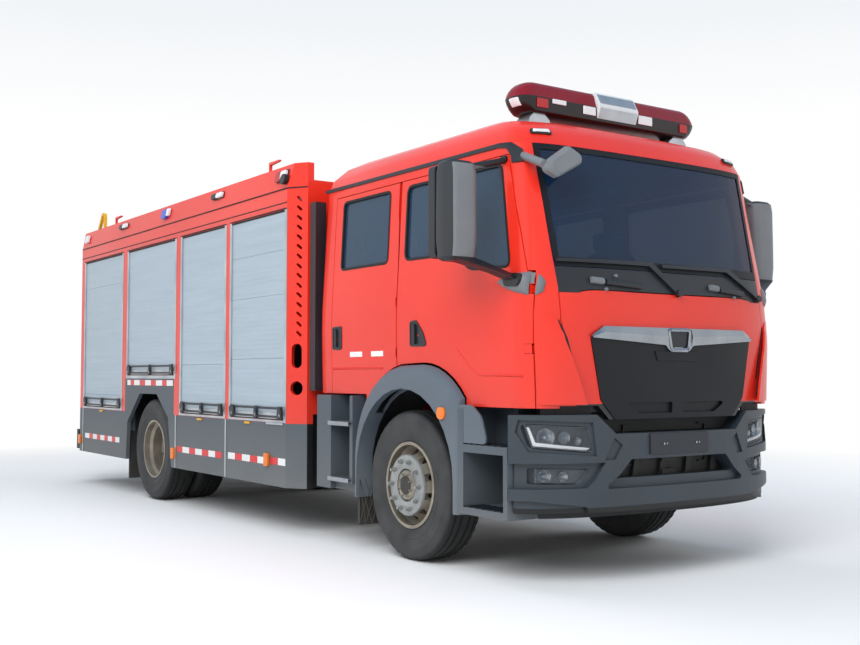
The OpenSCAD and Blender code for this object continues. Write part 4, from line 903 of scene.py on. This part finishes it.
# %% Cab trims
REAR_WINDOW = panel(-950, 2076, -285, 2600, 45, 6)
FRONT_WINDOW = rounded([(-62, 2076), (560, 2066), (700, 1950), (1122, 1936), (1000, 2594), (-62, 2600)],
                       60, 6)
# Each column of a mirror boss: place along the cab, upper edge, lower edge and how far it bulges.
BOSS_ON_DOOR = ((1003, 1851, 1845, 2), (1050, 1874, 1817, 20), (1110, 1888, 1795, 28),
                (1180, 1894, 1774, 30), (1250, 1896, 1757, 30), (1260, 1896, 1756, 22),
                (1270, 1896, 1755, 10))
BOSS_ON_CAB = ((1298, 1884, 1753, 9), (1303, 1878, 1754, 15), (1309, 1869, 1757, 18),
               (1315, 1858, 1761, 17), (1321, 1845, 1768, 12), (1326, 1830, 1778, 2))
# The vane's front edge: height and place along the cab.
VANE_EDGE = chain([(1095, 1404), (1242, 1400), (1400, 1392), (1513, 1382), (1600, 1368), (1646, 1352)], 40)
# Places on a pressed swage line and how far the line leans there.
SWAGES = (("rear", ((-1046, 1322, 0), (-700, 1322, 0), (-330, 1322, 0))),
          ("front", ((576, 1435, 6), (658, 1369, 6), (738, 1304, 5), (825, 1273, 2), (1028, 1271, 0),
                     (1100, 1270, 0), (1170, 1268, 0), (1232, 1266, 0))))


def on_side(s):
    return lambda x, z, lift: flank(x, z, lift, s)


def drawn_in(ring, middle, share):
    return [tuple(m + (p - m) * share for p, m in zip(spot, middle)) for spot in ring]


def boss(bm, skin, columns):
    def bulge(u, v):
        return 2 + columns[round(u * (len(columns) - 1))][3] * math.sin(math.pi * v) ** 0.7
    top = [(x, high) for x, high, _, _ in columns]
    foot = [(x, deep) for x, _, deep, _ in columns]
    shell(bm, skin, sheet(top, foot, 10), bulge)


def rise(u, v):
    return (16 + 36 * (1 - v)) * u ** 1.4 * min(1, (1 - v) * 6)


for side, s in SIDES:
    skin = on_side(s)
    for door, outline in (("front", FRONT_WINDOW), ("rear", REAR_WINDOW)):
        bm = bmesh.new()
        band(bm, skin, inset(outline, -7), inset(outline, 11), -14, 3, closed=True, crown=2)
        ending = "%s_%s" % (door, side)
        piece(bm, "window_seal_" + ending, seal_rubber, "door_" + ending, 0, 30)
    handles = (("rear", [(-1046, 1640), (-905, 1645), (-905, 1475), (-930, 1463), (-1046, 1468)]),
               ("front", [(30, 1640), (110, 1652), (196, 1560), (232, 1480), (206, 1466), (30, 1470)]))
    for door, outline in handles:
        bm = bmesh.new()
        rim = rounded(outline, 18)
        band(bm, skin, rim, inset(rim, 14), -1, 5, closed=True, crown=2)
        deep = inset(rim, 12)
        middle = (sum(p[0] for p in deep) / len(deep), sum(p[1] for p in deep) / len(deep))
        band(bm, skin, deep, drawn_in(deep, middle, 0.1), -1, 1.5, closed=True)
        x = outline[0][0] + 42
        grip = chain([(x, 1490), (x, 1625)], 20)
        band(bm, skin, grip, chain([(x + 34, 1486), (x + 34, 1618)], 20), 2, 16, crown=6)
        ending = "%s_%s" % (door, side)
        piece(bm, "door_handle_" + ending, moulded_black, "door_" + ending, 2, 40)
    for name, body, columns in (("mirror_boss_door_", "door_front_" + side, BOSS_ON_DOOR),
                                ("mirror_boss_cab_", "chassis", BOSS_ON_CAB)):
        bm = bmesh.new()
        boss(bm, skin, columns)
        piece(bm, name + side, mirror_grey, body, 0, 50)
    bm = bmesh.new()
    fill(bm, skin, chain([(1268, 1892), (1288, 1888)], 10), chain([(1268, 1824), (1288, 1824)], 10), -2, 2)
    piece(bm, "mirror_boss_edge_" + side, mirror_grey, "door_front_" + side, 0)
    for door, body, x0, x1, half, heights in (("front", "chassis", 1250, 1288, 28, (1430,)),
                                              ("rear", "door_rear_" + side, -210, -158, 37, (1430, 1790))):
        bm = bmesh.new()
        for z in heights:
            upper, lower = (chain([(x0, edge), (x1, edge)], 10) for edge in (z + half, z - half))
            fill(bm, skin, upper, lower, -4, 0.6)
        piece(bm, "hinge_covers_%s_%s" % (door, side), enamel_red, body, 0)
    bm = bmesh.new()
    grid = [[(1300 + (x - 1300) * i / 12, z) for i in range(13)] for z, x in VANE_EDGE]
    shell(bm, skin, grid, lambda u, v: 2 + rise(u, v), lambda u, v: max(-3, rise(u, v) - 13))
    piece(bm, "corner_vane_" + side, enamel_red, "chassis", 0, 50)
    # The vane's core is a black sheet just under the vane: painted shade that makes the slot between the
    # vane and the cab read dark.
    bm = bmesh.new()
    grid = [[(1306 + (x - 1316) * i / 12, z) for i in range(13)] for z, x in VANE_EDGE[1:]]
    shell(bm, skin, grid, lambda u, v: max(-2, rise(u, v) - 12))
    piece(bm, "corner_vane_shade_sheet_" + side, moulded_black, "chassis", 0, 50)
    bm = bmesh.new()
    edge_low = chain([(-1245, 2708), (960, 2700), (1046, 2684), (1084, 2632), (1094, 2585)], 80)
    edge_top = chain([(-1245, 2734), (972, 2728), (1082, 2716), (1140, 2668), (1152, 2588)], 80)
    count = min(len(edge_low), len(edge_top)) - 3
    lower, upper = (edge[:count] + edge[-3:] for edge in (edge_low, edge_top))
    band(bm, skin, lower, upper, -2, 9, crown=4)
    piece(bm, "drip_rail_" + side, moulded_black, "chassis", 2, 40)
    for door, line in SWAGES:
        bm = bmesh.new()
        lower = [(x - lean, z - 8) for x, z, lean in line]
        upper = [(x + lean, z + 8) for x, z, lean in line]
        band(bm, skin, lower, upper, -1, 0.4, crown=5)
        ending = "%s_%s" % (door, side)
        piece(bm, "door_swage_" + ending, enamel_red, "door_" + ending, 0, 60)

for side, s in SIDES:
    bm = bmesh.new()
    for x, width in ((-786, 175), (-485, 164)):
        grid = [[(x + width * i / 2, 1408 + 38 * j) for i in range(3)] for j in range(2)]
        shell(bm, on_side(s), grid, lambda u, v: 1.2)
    piece(bm, "door_tape_" + side, tape_white, "door_rear_" + side, 0)

bm = bmesh.new()
one = chain([(-944, 1606), (-930, 1560), (-906, 1500), (-880, 1410), (-856, 1320), (-838, 1250)], 30)
two = chain([(-940, 1606), (-917, 1560), (-889, 1500), (-862, 1410), (-840, 1320), (-828, 1250)], 30)
count = min(len(one), len(two))
band(bm, brow, one[:count], two[:count], -1, 1.5)
both(bm)
piece(bm, "flap_side_slits", seal_rubber, edge=0)

LAMP = (875, 2794)
for name, material, corners, radius, share, under, over, crown, edge, slot in (
    ("roof_marker_lamps", moulded_black, ((802, 2780), (949, 2776), (945, 2806), (806, 2812)),
     14, 0.15, -3, 10, 8, 2, "black_plastic"),
    ("roof_marker_lenses", white_lens, ((818, 2786), (935, 2783), (932, 2800), (822, 2805)),
     8, 0.1, 8, 17, 4, 0, "lamp_clear"),
):
    bm = bmesh.new()
    for s in (-1, 1):
        ring = rounded([(s * y, z) for y, z in corners], radius)
        inner = drawn_in(ring, (s * LAMP[0], LAMP[1]), share)
        band(bm, brow, ring, inner, under, over, closed=True, crown=crown)
    piece(bm, name, material, edge=edge)
print("cab trims on both sides")

# %% [markdown]
# The windscreen is bonded in, so its edge is covered by a black printed border, widest along the foot.
# Wiper spindles and washer jets sit on the black panel below the glass.

# %% Screen border and wiper spindles
SCREEN_TOP = 2708
SCREEN_FOOT = 1936
PRINT = (0.5, 2.2)
bm = bmesh.new()
for half, z0, z1 in ((960, SCREEN_TOP, 2676), (930, 1990, SCREEN_FOOT)):
    spots = range(-half, half + 1, 60)
    band(bm, brow, [(y, z0) for y in spots], [(y, z1) for y in spots], *PRINT)
for s in (-1, 1):
    outer = chain([(s * 958, SCREEN_TOP), (s * 930, SCREEN_FOOT)], 80)
    inner = chain([(s * 925, SCREEN_TOP), (s * 895, SCREEN_FOOT)], 80)
    band(bm, brow, outer, inner, *PRINT)
piece(bm, "screen_border", grille_black, edge=0)

bm = bmesh.new()
for y in (30, 880):
    x = brow(y, 1798)[0]
    tube(bm, [(x - 10, y, 1795), (x + 34, y, 1802)], 24, 16)
for y0, y1, z0, z1 in ((-590, -300, 1818, 1856), (440, 690, 1812, 1850)):
    lower = chain([(y0, z0 + 10), (y1, z0 - 8)], 40)
    band(bm, brow, lower, chain([(y0, z1 + 6), (y1, z1 - 12)], 40), 0, 24, crown=8)
piece(bm, "wiper_spindles", moulded_black, edge=3)
bm = bmesh.new()
for y0, y1, z0, z1 in ((-700, -606, 1834, 1872), (350, 430, 1832, 1870)):
    lower = chain([(y0, z0), (y1, z0 - 6)], 30)
    band(bm, brow, lower, chain([(y0, z1), (y1, z1 - 6)], 30), 0, 22, crown=10)
for y, z in ((-590, 1800), (-432, 1846), (-496, 1888), (592, 1794)):
    x = brow(y, z)[0]
    tube(bm, [(x - 4, y, z), (x + 16, y, z + 2)], 11, 12)
piece(bm, "washer_jets", mirror_grey, edge=2)
print("screen border and wipers dressed")

# %% [markdown]
# A head lamp is a dark tray with bright bowls in it, closed by a clear cover just inside the bumper's
# skin. The bumper is a rounded band of its own, so a second skin function gives its face. The new lamps
# stand for the plain blocks in the frame.

# %% Head lamps, fog lamps and number plate
BUMPER_HALF = 1215
BUMPER_ROUND = 2.6


def bumper_face(y, z, lift):
    def face(v):
        u = min(abs(v) / BUMPER_HALF, 0.9995)
        return 980 + 500 * (1 - u ** BUMPER_ROUND) ** (1 / BUMPER_ROUND)
    slope = Vector((1, -(face(y + 2) - face(y - 2)) / 4, 0)).normalized()
    return face(y) + slope.x * lift, y + slope.y * lift, z


def bowl(bm, y, z, lift, radius, deep):
    middle = Vector(bumper_face(y, z, lift))
    out = (Vector(bumper_face(y, z, 10)) - Vector(bumper_face(y, z, 0))).normalized()
    across = Vector((-out.y, out.x, 0))
    rings = []
    count = 24
    rim = radius * 1.06
    cup = ((1, 0), (0.8, 0.4), (0.5, 0.75), (0.22, 1), (0.2, 0.5), (0.12, 0.42))
    for r, h in [(rim, -deep - 4), (rim, 2)] + [(radius * a, -deep * b) for a, b in cup]:
        ring = []
        for k in range(count):
            a = 2 * math.pi * k / count
            p = middle + out * h + across * r * math.cos(a) + Vector((0, 0, r * math.sin(a)))
            ring.append(bm.verts.new(place(*p)))
        rings.append(ring)
    for a, b in zip(rings, rings[1:]):
        for k in range(count):
            bm.faces.new((a[k], a[(k + 1) % count], b[(k + 1) % count], b[k]))
    bm.faces.new(rings[-1])
    bm.faces.new(rings[0])


UPPER = chain([(-1118, 978), (-742, 955)], 40)
LOWER = chain([(-1080, 836), (-706, 801)], 40)[:len(UPPER)]
bm = bmesh.new()
fill(bm, bumper_face, UPPER, LOWER, -92, -86)
loop = UPPER + LOWER[::-1]
band(bm, bumper_face, loop, inset(loop, 6), -92, -24, closed=True)
both(bm)
tray = piece(bm, "head_lamp_trays", moulded_black, edge=0)
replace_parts(tray, "head_lamps")
bm = bmesh.new()
bowl(bm, -1000, 896, -44, 52, 36)
bowl(bm, -888, 892, -44, 36, 30)
bowl(bm, -800, 872, -44, 24, 20)
both(bm)
piece(bm, "head_lamp_bowls", bright_trim, edge=0)
bm = bmesh.new()
band(bm, bumper_face, chain([(-1104, 960), (-1072, 846), (-910, 829), (-716, 812)], 30),
     chain([(-1090, 958), (-1058, 866), (-908, 848), (-722, 829)], 30), -60, -32, crown=3)
both(bm)
piece(bm, "day_lamp_strips", white_lens, edge=0)
bm = bmesh.new()
fill(bm, bumper_face, UPPER, LOWER, -23, -20)
both(bm)
piece(bm, "head_lamp_covers", clear_lens, edge=0)

bm = bmesh.new()
bowl(bm, -1010, 664, -36, 38, 26)
bowl(bm, -900, 660, -36, 30, 22)
both(bm)
piece(bm, "fog_lamp_bowls", bright_trim, edge=0)
bm = bmesh.new()
fill(bm, bumper_face, chain([(-1066, 710), (-720, 700)], 40),
     chain([(-1066, 626), (-802, 620)], 31)[:10], -32, -30)
both(bm)
piece(bm, "fog_lamp_covers", clear_lens, edge=0)

bm = bmesh.new()
prism(bm, panel(-286, 776, 242, 908, 10), "x", 1480.3, 1487)
piece(bm, "number_plate_blank", moulded_black, edge=2)
bm = bmesh.new()
for y in (-170, 126):
    tube(bm, [(1486, y, 842), (1492, y, 842)], 8, 10)
    tube(bm, [(1486, y + 26, 842), (1491, y + 26, 842)], 6, 10)
piece(bm, "number_plate_screws", bright_trim, edge=0.6)
bm = bmesh.new()
box(bm, 1318, -600, 600, 1326, 600, 800)
for y in (-300, -60, 180, 420):
    prism(bm, [(y - 22, 600), (y + 26, 600), (y + 66, 800), (y + 18, 800)], "x", 1326, 1352)
box(bm, 1318, -640, 915, 1326, 640, 1030)
piece(bm, "bumper_inner_panels", chassis_black, edge=2)
bm = bmesh.new()
fill(bm, bumper_face, chain([(-1030, 1088), (-705, 1088)], 30),
     chain([(-1030, 985), (-705, 985)], 30), -60, -48)
both(bm)
fill(bm, bumper_face, chain([(-1040, 470), (1040, 470)], 40),
     chain([(-1040, 408), (1040, 408)], 40), -80, -62)
piece(bm, "bumper_seals", seal_rubber, edge=0)
print("lamps and plate in the bumper")

# %% [markdown]
# The badge on the grille is left blank: a plain dark shield set in the bright bar, with a raised panel
# below.

# %% Grille fittings
bm = bmesh.new()
fill(bm, brow, chain([(-86, 1548), (86, 1548)], 20), chain([(-66, 1450), (66, 1450)], 15.35)[:10], 9, 16)
piece(bm, "blank_badge", moulded_black, edge=2, body="front_flap")
# Near-black sheets behind the lower grille slots are painted shade, so that the openings read dark.
bm = bmesh.new()
for s in (-1, 1):
    fill(bm, brow, chain([(s * 44, 1108), (s * 476, 1108)], 40),
         chain([(s * 44, 1028), (s * 476, 1028)], 40), -17, -12)
piece(bm, "grille_slot_shade_sheets", grille_black, edge=0, body="front_flap")
bm = bmesh.new()
fill(bm, brow, chain([(-215, 1424), (195, 1424)], 41), chain([(-190, 1362), (170, 1362)], 36), 7.5, 13)
piece(bm, "grille_panel", grille_black, edge=2, body="front_flap")


def bar_edges(y):
    low = ((0, 1440), (100, 1440), (128, 1463), (320, 1475), (722, 1501), (737, 1512))
    for (y0, z0), (y1, z1) in zip(low, low[1:]):
        if abs(y) <= y1:
            return min(1571, 1512 + (736 - abs(y)) * 0.62), z0 + (z1 - z0) * (abs(y) - y0) / (y1 - y0)


bm = bmesh.new()
for s in (-1, 1):
    spots = [s * (112 + 12 * k) for k in range(52)]
    band(bm, brow, [(y, bar_edges(y)[0]) for y in spots], [(y, bar_edges(y)[1]) for y in spots],
         18, 22.5, crown=11)
badge = rounded([(-98, 1560), (98, 1560), (76, 1436), (-76, 1436)], 26)
band(bm, brow, inset(badge, -12), inset(badge, 10), 16, 26, closed=True, crown=8)
piece(bm, "grille_bar_ridge", bright_trim, "front_flap", 0, 20)
print("grille dressed")

# %% [markdown]
# The beacon bar is a dark tray under two red hoods, and both draw in towards their ends like a boat. Each
# is a loft: rings of points at rising heights, joined by quads. Working lamps, clear and red, sit in the
# tray's edge, and a silver speaker housing stands in the middle. New rims and glass go on the mirrors.

# %% Beacon bar and mirrors
def loft(bm, rings):
    rows = [[bm.verts.new(place(*p)) for p in ring] for ring in rings]
    bm.faces.new(rows[0])
    bm.faces.new(list(reversed(rows[-1])))
    for low, high in zip(rows, rows[1:]):
        for i in range(len(low)):
            bm.faces.new((low[i - 1], low[i], high[i], high[i - 1]))


# The bar's middle line, the height where the hoods meet the tray, and the tray's front face and corners.
BAR_X = 790
BAR_SPLIT = 3098
BAR_FRONT = 910
CORNER = 100


def bar_half(z):
    return 830 - 66 * max(0.0, (BAR_SPLIT - z) / 100) ** 1.5


def bar_end(t, z, lift):
    if t < 50:
        return 760 + t, -bar_half(z) - lift, z
    a = (t - 50) / CORNER
    reach = CORNER + lift
    return BAR_FRONT - CORNER + reach * math.sin(a), CORNER - bar_half(z) - reach * math.cos(a), z


bm = bmesh.new()
rings = []
for z, draw in ((2996, 14), (3003, 4), (3030, 0), (3064, 0), (BAR_SPLIT, 0)):
    half = bar_half(z) - draw
    front = BAR_FRONT - draw
    rear = 2 * BAR_X - front
    plan = rounded([(rear, -half), (front, -half), (front, half), (rear, half)], CORNER, 8)
    rings.append([(x, y, z) for x, y in plan])
loft(bm, rings)
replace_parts(piece(bm, "beacon_tray", beacon_shell, edge=3), "light_bar")
# Height of each ring of a hood, its half length and its front.
hood = ((BAR_SPLIT, 826, 906), (3120, 823, 900), (3145, 813, 893), (3168, 796, 886), (3186, 775, 876),
        (3198, 748, 862), (3204, 716, 842))
bm = bmesh.new()
for s, inner in ((-1, 178), (1, 198)):
    rings = []
    for z, half, front in hood:
        rear = 2 * BAR_X - front
        plan = rounded([(rear, s * inner), (rear, s * half), (front, s * half),
                        (front, s * inner)], 90, 8)[9:27]
        rings.append([(x, y, z) for x, y in [(rear, s * inner)] + plan + [(front, s * inner)]])
    loft(bm, rings)
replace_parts(piece(bm, "beacon_hoods", red_lens, edge=0, angle=50), "light_bar_lens")
bm = bmesh.new()
fore = [(front, z) for z, _, front in hood]
prism(bm, fore + [(2 * BAR_X - x, z) for x, z in reversed(fore)], "y", -177, 197)
piece(bm, "beacon_speaker_body", plain_aluminium, edge=2)

bm = bmesh.new()
shell(bm, bar_end, [[(t, z) for t in range(8, 93, 12)] for z in (3034, 3050, 3068, 3086)], lambda u, v: 9)
both(bm)
for y0, y1, z0, z1 in ((-577, -459, 3064, 3096), (-304, -192, 3032, 3090), (216, 350, 3031, 3094)):
    box(bm, BAR_FRONT - 1, y0, z0, BAR_FRONT + 9, y1, z1)
piece(bm, "beacon_work_lamps", white_lens, edge=4)
bm = bmesh.new()
for y0, y1 in ((-712, -617), (634, 708)):
    box(bm, BAR_FRONT - 1, y0, 3024, BAR_FRONT + 9, y1, 3086)
piece(bm, "beacon_side_lamps", tail_lens, edge=4)
bm = bmesh.new()
prism(bm, [(842, 3006), (905, 3012), (937, 3096), (936, 3112), (888, 3198), (878, 3208),
           (842, 3208)], "y", -176, 196)
piece(bm, "beacon_speaker_frame", speaker_white, edge=5)
bm = bmesh.new()
for (x0, z0), (x1, z1) in (((908, 3022), (935, 3092)), ((930, 3124), (893, 3190))):
    out = Vector((z1 - z0, x0 - x1)).normalized() * 3
    plate = [(x0, z0), (x0 + out.x, z0 + out.y), (x1 + out.x, z1 + out.y), (x1, z1)]
    prism(bm, plate, "y", -160, 180)
piece(bm, "beacon_speaker_panels", plain_aluminium, edge=1)
bm = bmesh.new()
for s in (-1, 1):
    foot = ((545, 2890), (760, 2890), (742, 2960), (706, 3000), (612, 3000), (566, 2960))
    prism(bm, [(s * y, z) for y, z in foot], "x", 736, 874)
piece(bm, "beacon_feet", plain_aluminium, edge=6)

for side, s in SIDES:
    bm = bmesh.new()
    prism(bm, panel(s * 1288, 1984, s * 1530, 2552, 40, 5), "x", 914, 842)
    piece(bm, "mirror_rim_" + side, moulded_black, "door_front_" + side, 8)
    bm = bmesh.new()
    for z0, z1 in ((2000, 2330), (2352, 2538)):
        prism(bm, panel(s * 1304, z0, s * 1514, z1, 24), "x", 843, 839)
    piece(bm, "mirror_glass_" + side, mirror_glass, "door_front_" + side, 1)
print("beacon bar and mirrors dressed")

# %% [markdown]
# Steps are meant to be stood on: their treads are plain aluminium with a raised pattern that grips a
# boot. It is a bump, rows of short bars turned by 45 degrees, about 30 mm apart as on real tread plate.

# %% Treads, arch lamps and flaps
def tread_plate():
    material, tree, where = blank("aluminium_tread_plate")
    turn = add(tree, "ShaderNodeMapping", {
        "Vector": where, "Rotation": (0.0, 0.0, math.radians(45)), "Scale": (33.0, 33.0, 33.0)})
    bars = add(tree, "ShaderNodeTexBrick", {
        "Vector": turn.outputs["Vector"], "Scale": 1.0, "Mortar Size": 0.28, "Mortar Smooth": 0.4,
        "Brick Width": 1.0, "Row Height": 0.5})
    shown = mix(tree, noise(tree, where, 8.0, 5.0), linear("#aeb4b9"), linear("#8d9297"))
    bump = relief(tree, bars.outputs["Fac"], 0.6, 0.0015, invert=True)
    cover(tree, shown, {"Metallic": 0.85, "Roughness": 0.4, "Normal": bump})
    return material


tread = tread_plate()
nodes["body_roof"].data.materials.clear()
nodes["body_roof"].data.materials.append(tread)
bm = bmesh.new()
for z in (922, 505):
    box(bm, -972, -1196, z + 0.2, -668, -960, z + 5)
    box(bm, -972, -1203, z - 26, -668, -1196, z + 5)
both(bm)
piece(bm, "crew_step_treads", tread, edge=1.5)
bm = bmesh.new()
for z in (440, 835):
    for k in range(7):
        box(bm, 690 + k * 62, -1168, z + 0.2, 724 + k * 62, -1000, z + 6)
both(bm)
piece(bm, "entry_step_grips", moulded_black, edge=2)

bm = bmesh.new()
prism(bm, panel(436, 982, 524, 1064, 40, 6), "y", -1166, -1186)
both(bm)
piece(bm, "arch_marker_lenses", amber_lens, edge=6)

bm = bmesh.new()
prism(bm, rounded([(662, 842), (940, 842), (946, 880), (896, 1014), (800, 1084), (662, 1084)], 30),
      "y", -1150, -1168)
both(bm)
piece(bm, "arch_gussets", arch_grey, edge=5)

bm = bmesh.new()
for k in range(7):
    for tilt in (-1, 1):
        y = -1140 + k * 56
        head = min(max(y + tilt * 120, -1138), -802)
        tube(bm, [(-607, y if tilt > 0 else y + 4, 180), (-607, head, 510)], 6, 6)
both(bm)
piece(bm, "mud_flap_lattice", flap_rubber, edge=0)
print("treads, arch lamps and flap lattice")

# %% [markdown]
# Seats are foam under woven cloth. Each cushion is a pad that is thicker in the middle and drawn in along
# its sewn edges: a block cut into a grid, whose faces sink towards their rims, then subdivided once. The
# pads stand for the plain blocks in the frame.

# %% Seats
def woven_cloth():
    material, tree, where = blank("woven_seat_cloth")
    # Threads of 2.5 mm, drawn coarser than real cloth.
    warp = add(tree, "ShaderNodeTexWave", {"Vector": where, "Scale": 120.0}, bands_direction="Y")
    weft = add(tree, "ShaderNodeTexWave", {"Vector": where, "Scale": 120.0}, bands_direction="Z")
    knit = reckon(tree, "MULTIPLY", warp.outputs["Fac"], weft.outputs["Fac"])
    cover(tree, mix(tree, knit, linear("#26292d"), linear("#3a3e44")),
          {"Roughness": 0.9, "Sheen Weight": 0.3, "Normal": relief(tree, knit, 0.4, 0.0006)})
    return material


def pad(bm, middle, size, lean=0.0):
    part = bmesh.new()
    bmesh.ops.create_cube(part, size=2.0)
    bmesh.ops.subdivide_edges(part, edges=part.edges[:], cuts=8, use_grid_fill=True)
    turn = Matrix.Rotation(lean, 3, "Y")
    for v in part.verts:
        p = v.co.copy()
        for axis in range(3):
            others = [p[k] for k in range(3) if k != axis]
            p[axis] *= 1 - 0.16 * max(abs(others[0]), abs(others[1])) ** 4
        seam = 0.03 * (abs(p.x * size[0] / 2) % 90 < 10)
        q = turn @ Vector((p.x * size[0] / 2, p.y * size[1] / 2, p.z * size[2] / 2 * (1 - seam)))
        v.co = place(middle[0] + q.x, middle[1] + q.y, middle[2] + q.z)
    mesh = bpy.data.meshes.new("pad")
    part.to_mesh(mesh)
    part.free()
    bm.from_mesh(mesh)
    bpy.data.meshes.remove(mesh)


cloth = woven_cloth()
places = [(480, y, 520) for y in (-620, 620)] + [(-720, y, 460) for y in (-750, -250, 250, 750)]
for index, (x, y, width) in enumerate(places):
    bm = bmesh.new()
    pad(bm, (x, y, 1575), (500, width, 130))
    pad(bm, (x - 235, y, 1930), (130, width - 20, 560), -0.12)
    pad(bm, (x - 285, y, 2290), (100, width * 0.55, 150), -0.12)
    seat = piece(bm, "seat_pads_%d" % (index + 1), cloth, edge=0, angle=180)
    smooth = seat.modifiers.new("crown", "SUBSURF")
    smooth.levels = 1
    smooth.render_levels = 1
    if index == 0:
        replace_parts(seat, "seats")
bm = bmesh.new()
for x, y, width in places:
    box(bm, x - 220, y - width / 2 + 60, 1192, x + 200, y + width / 2 - 60, 1512)
piece(bm, "seat_bases", moulded_black, edge=8)
print("seats:", len(places))

# %% [markdown]
# The background is plain: a pale floor that takes the shadow and a white surround. Glossy and see-through
# surfaces see the same surround as the camera, a little bluer overhead as under an open sky, while the
# light that falls on the truck is softer. One large lamp stands in for a bright sky on the truck's right
# front side, and two weaker ones fill the roof and the left side.

# %% Floor, surround and lamps
world = bpy.data.worlds.new("surround")
bpy.context.scene.world = world
world.use_nodes = True
tree = world.node_tree
tree.nodes.clear()
way = add(tree, "ShaderNodeTexCoord").outputs["Generated"]
up = add(tree, "ShaderNodeSeparateXYZ", {"Vector": way})
sky = add(tree, "ShaderNodeValToRGB", {"Fac": up.outputs["Z"]})
sky.color_ramp.elements[0].position = 0.22
sky.color_ramp.elements[0].color = (1.0, 1.0, 1.0, 1.0)
sky.color_ramp.elements[1].position = 0.75
sky.color_ramp.elements[1].color = linear("#9db8d2")
rays = add(tree, "ShaderNodeLightPath")
seen = reckon(tree, "MAXIMUM", rays.outputs["Is Camera Ray"], rays.outputs["Is Glossy Ray"])
seen = reckon(tree, "MAXIMUM", seen, rays.outputs["Is Transmission Ray"])
level = stretch(tree, seen, 0.0, 1.0, 0.55, 1.0)
glow = add(tree, "ShaderNodeBackground", {"Color": sky.outputs["Color"], "Strength": level})
add(tree, "ShaderNodeOutputWorld", {"Surface": glow.outputs["Background"]})

floor_finish, tree, where = blank("pale_studio_floor")
shown = mix(tree, noise(tree, where, 0.4, 2.0), (0.92, 0.92, 0.92, 1), (0.9, 0.9, 0.9, 1))
matte = add(tree, "ShaderNodeBsdfPrincipled",
            {"Base Color": shown, "Roughness": 0.9, "Specular IOR Level": 0.1})
far = add(tree, "ShaderNodeVectorMath", {0: where}, operation="LENGTH")
fade = stretch(tree, far.outputs["Value"], 5.5, 11.0)
white = add(tree, "ShaderNodeEmission", {"Strength": 1.0})
blend = add(tree, "ShaderNodeMixShader", {0: fade, 1: matte.outputs["BSDF"], 2: white.outputs["Emission"]})
add(tree, "ShaderNodeOutputMaterial", {"Surface": blend.outputs["Shader"]})
bm = bmesh.new()
bmesh.ops.create_circle(bm, cap_ends=True, segments=64, radius=80)
mesh = bpy.data.meshes.new("floor")
bm.to_mesh(mesh)
bm.free()
mesh.materials.append(floor_finish)
floor = bpy.data.objects.new("floor", mesh)
floor.location.z = cad_low.z - 0.002
bpy.context.scene.collection.objects.link(floor)

for name, power, size, spot, target in (
    ("sky_panel", 1500, 9.0, (8.0, -9.0, 9.0), (0.5, -0.5, 1.2)),
    ("roof_panel", 500, 8.0, (-3.0, -1.0, 11.0), (-1.0, 0.0, 2.0)),
    ("left_panel", 450, 8.0, (3.0, 12.0, 6.0), (0.0, 0.5, 1.4)),
):
    lamp = bpy.data.objects.new(name, bpy.data.lights.new(name, "AREA"))
    lamp.data.energy = power
    lamp.data.size = size
    lamp.visible_glossy = False
    lamp.location = spot
    lamp.rotation_euler = (Vector(target) - Vector(spot)).to_track_quat("-Z", "Y").to_euler()
    bpy.context.scene.collection.objects.link(lamp)
print("floor, surround and three lamps")
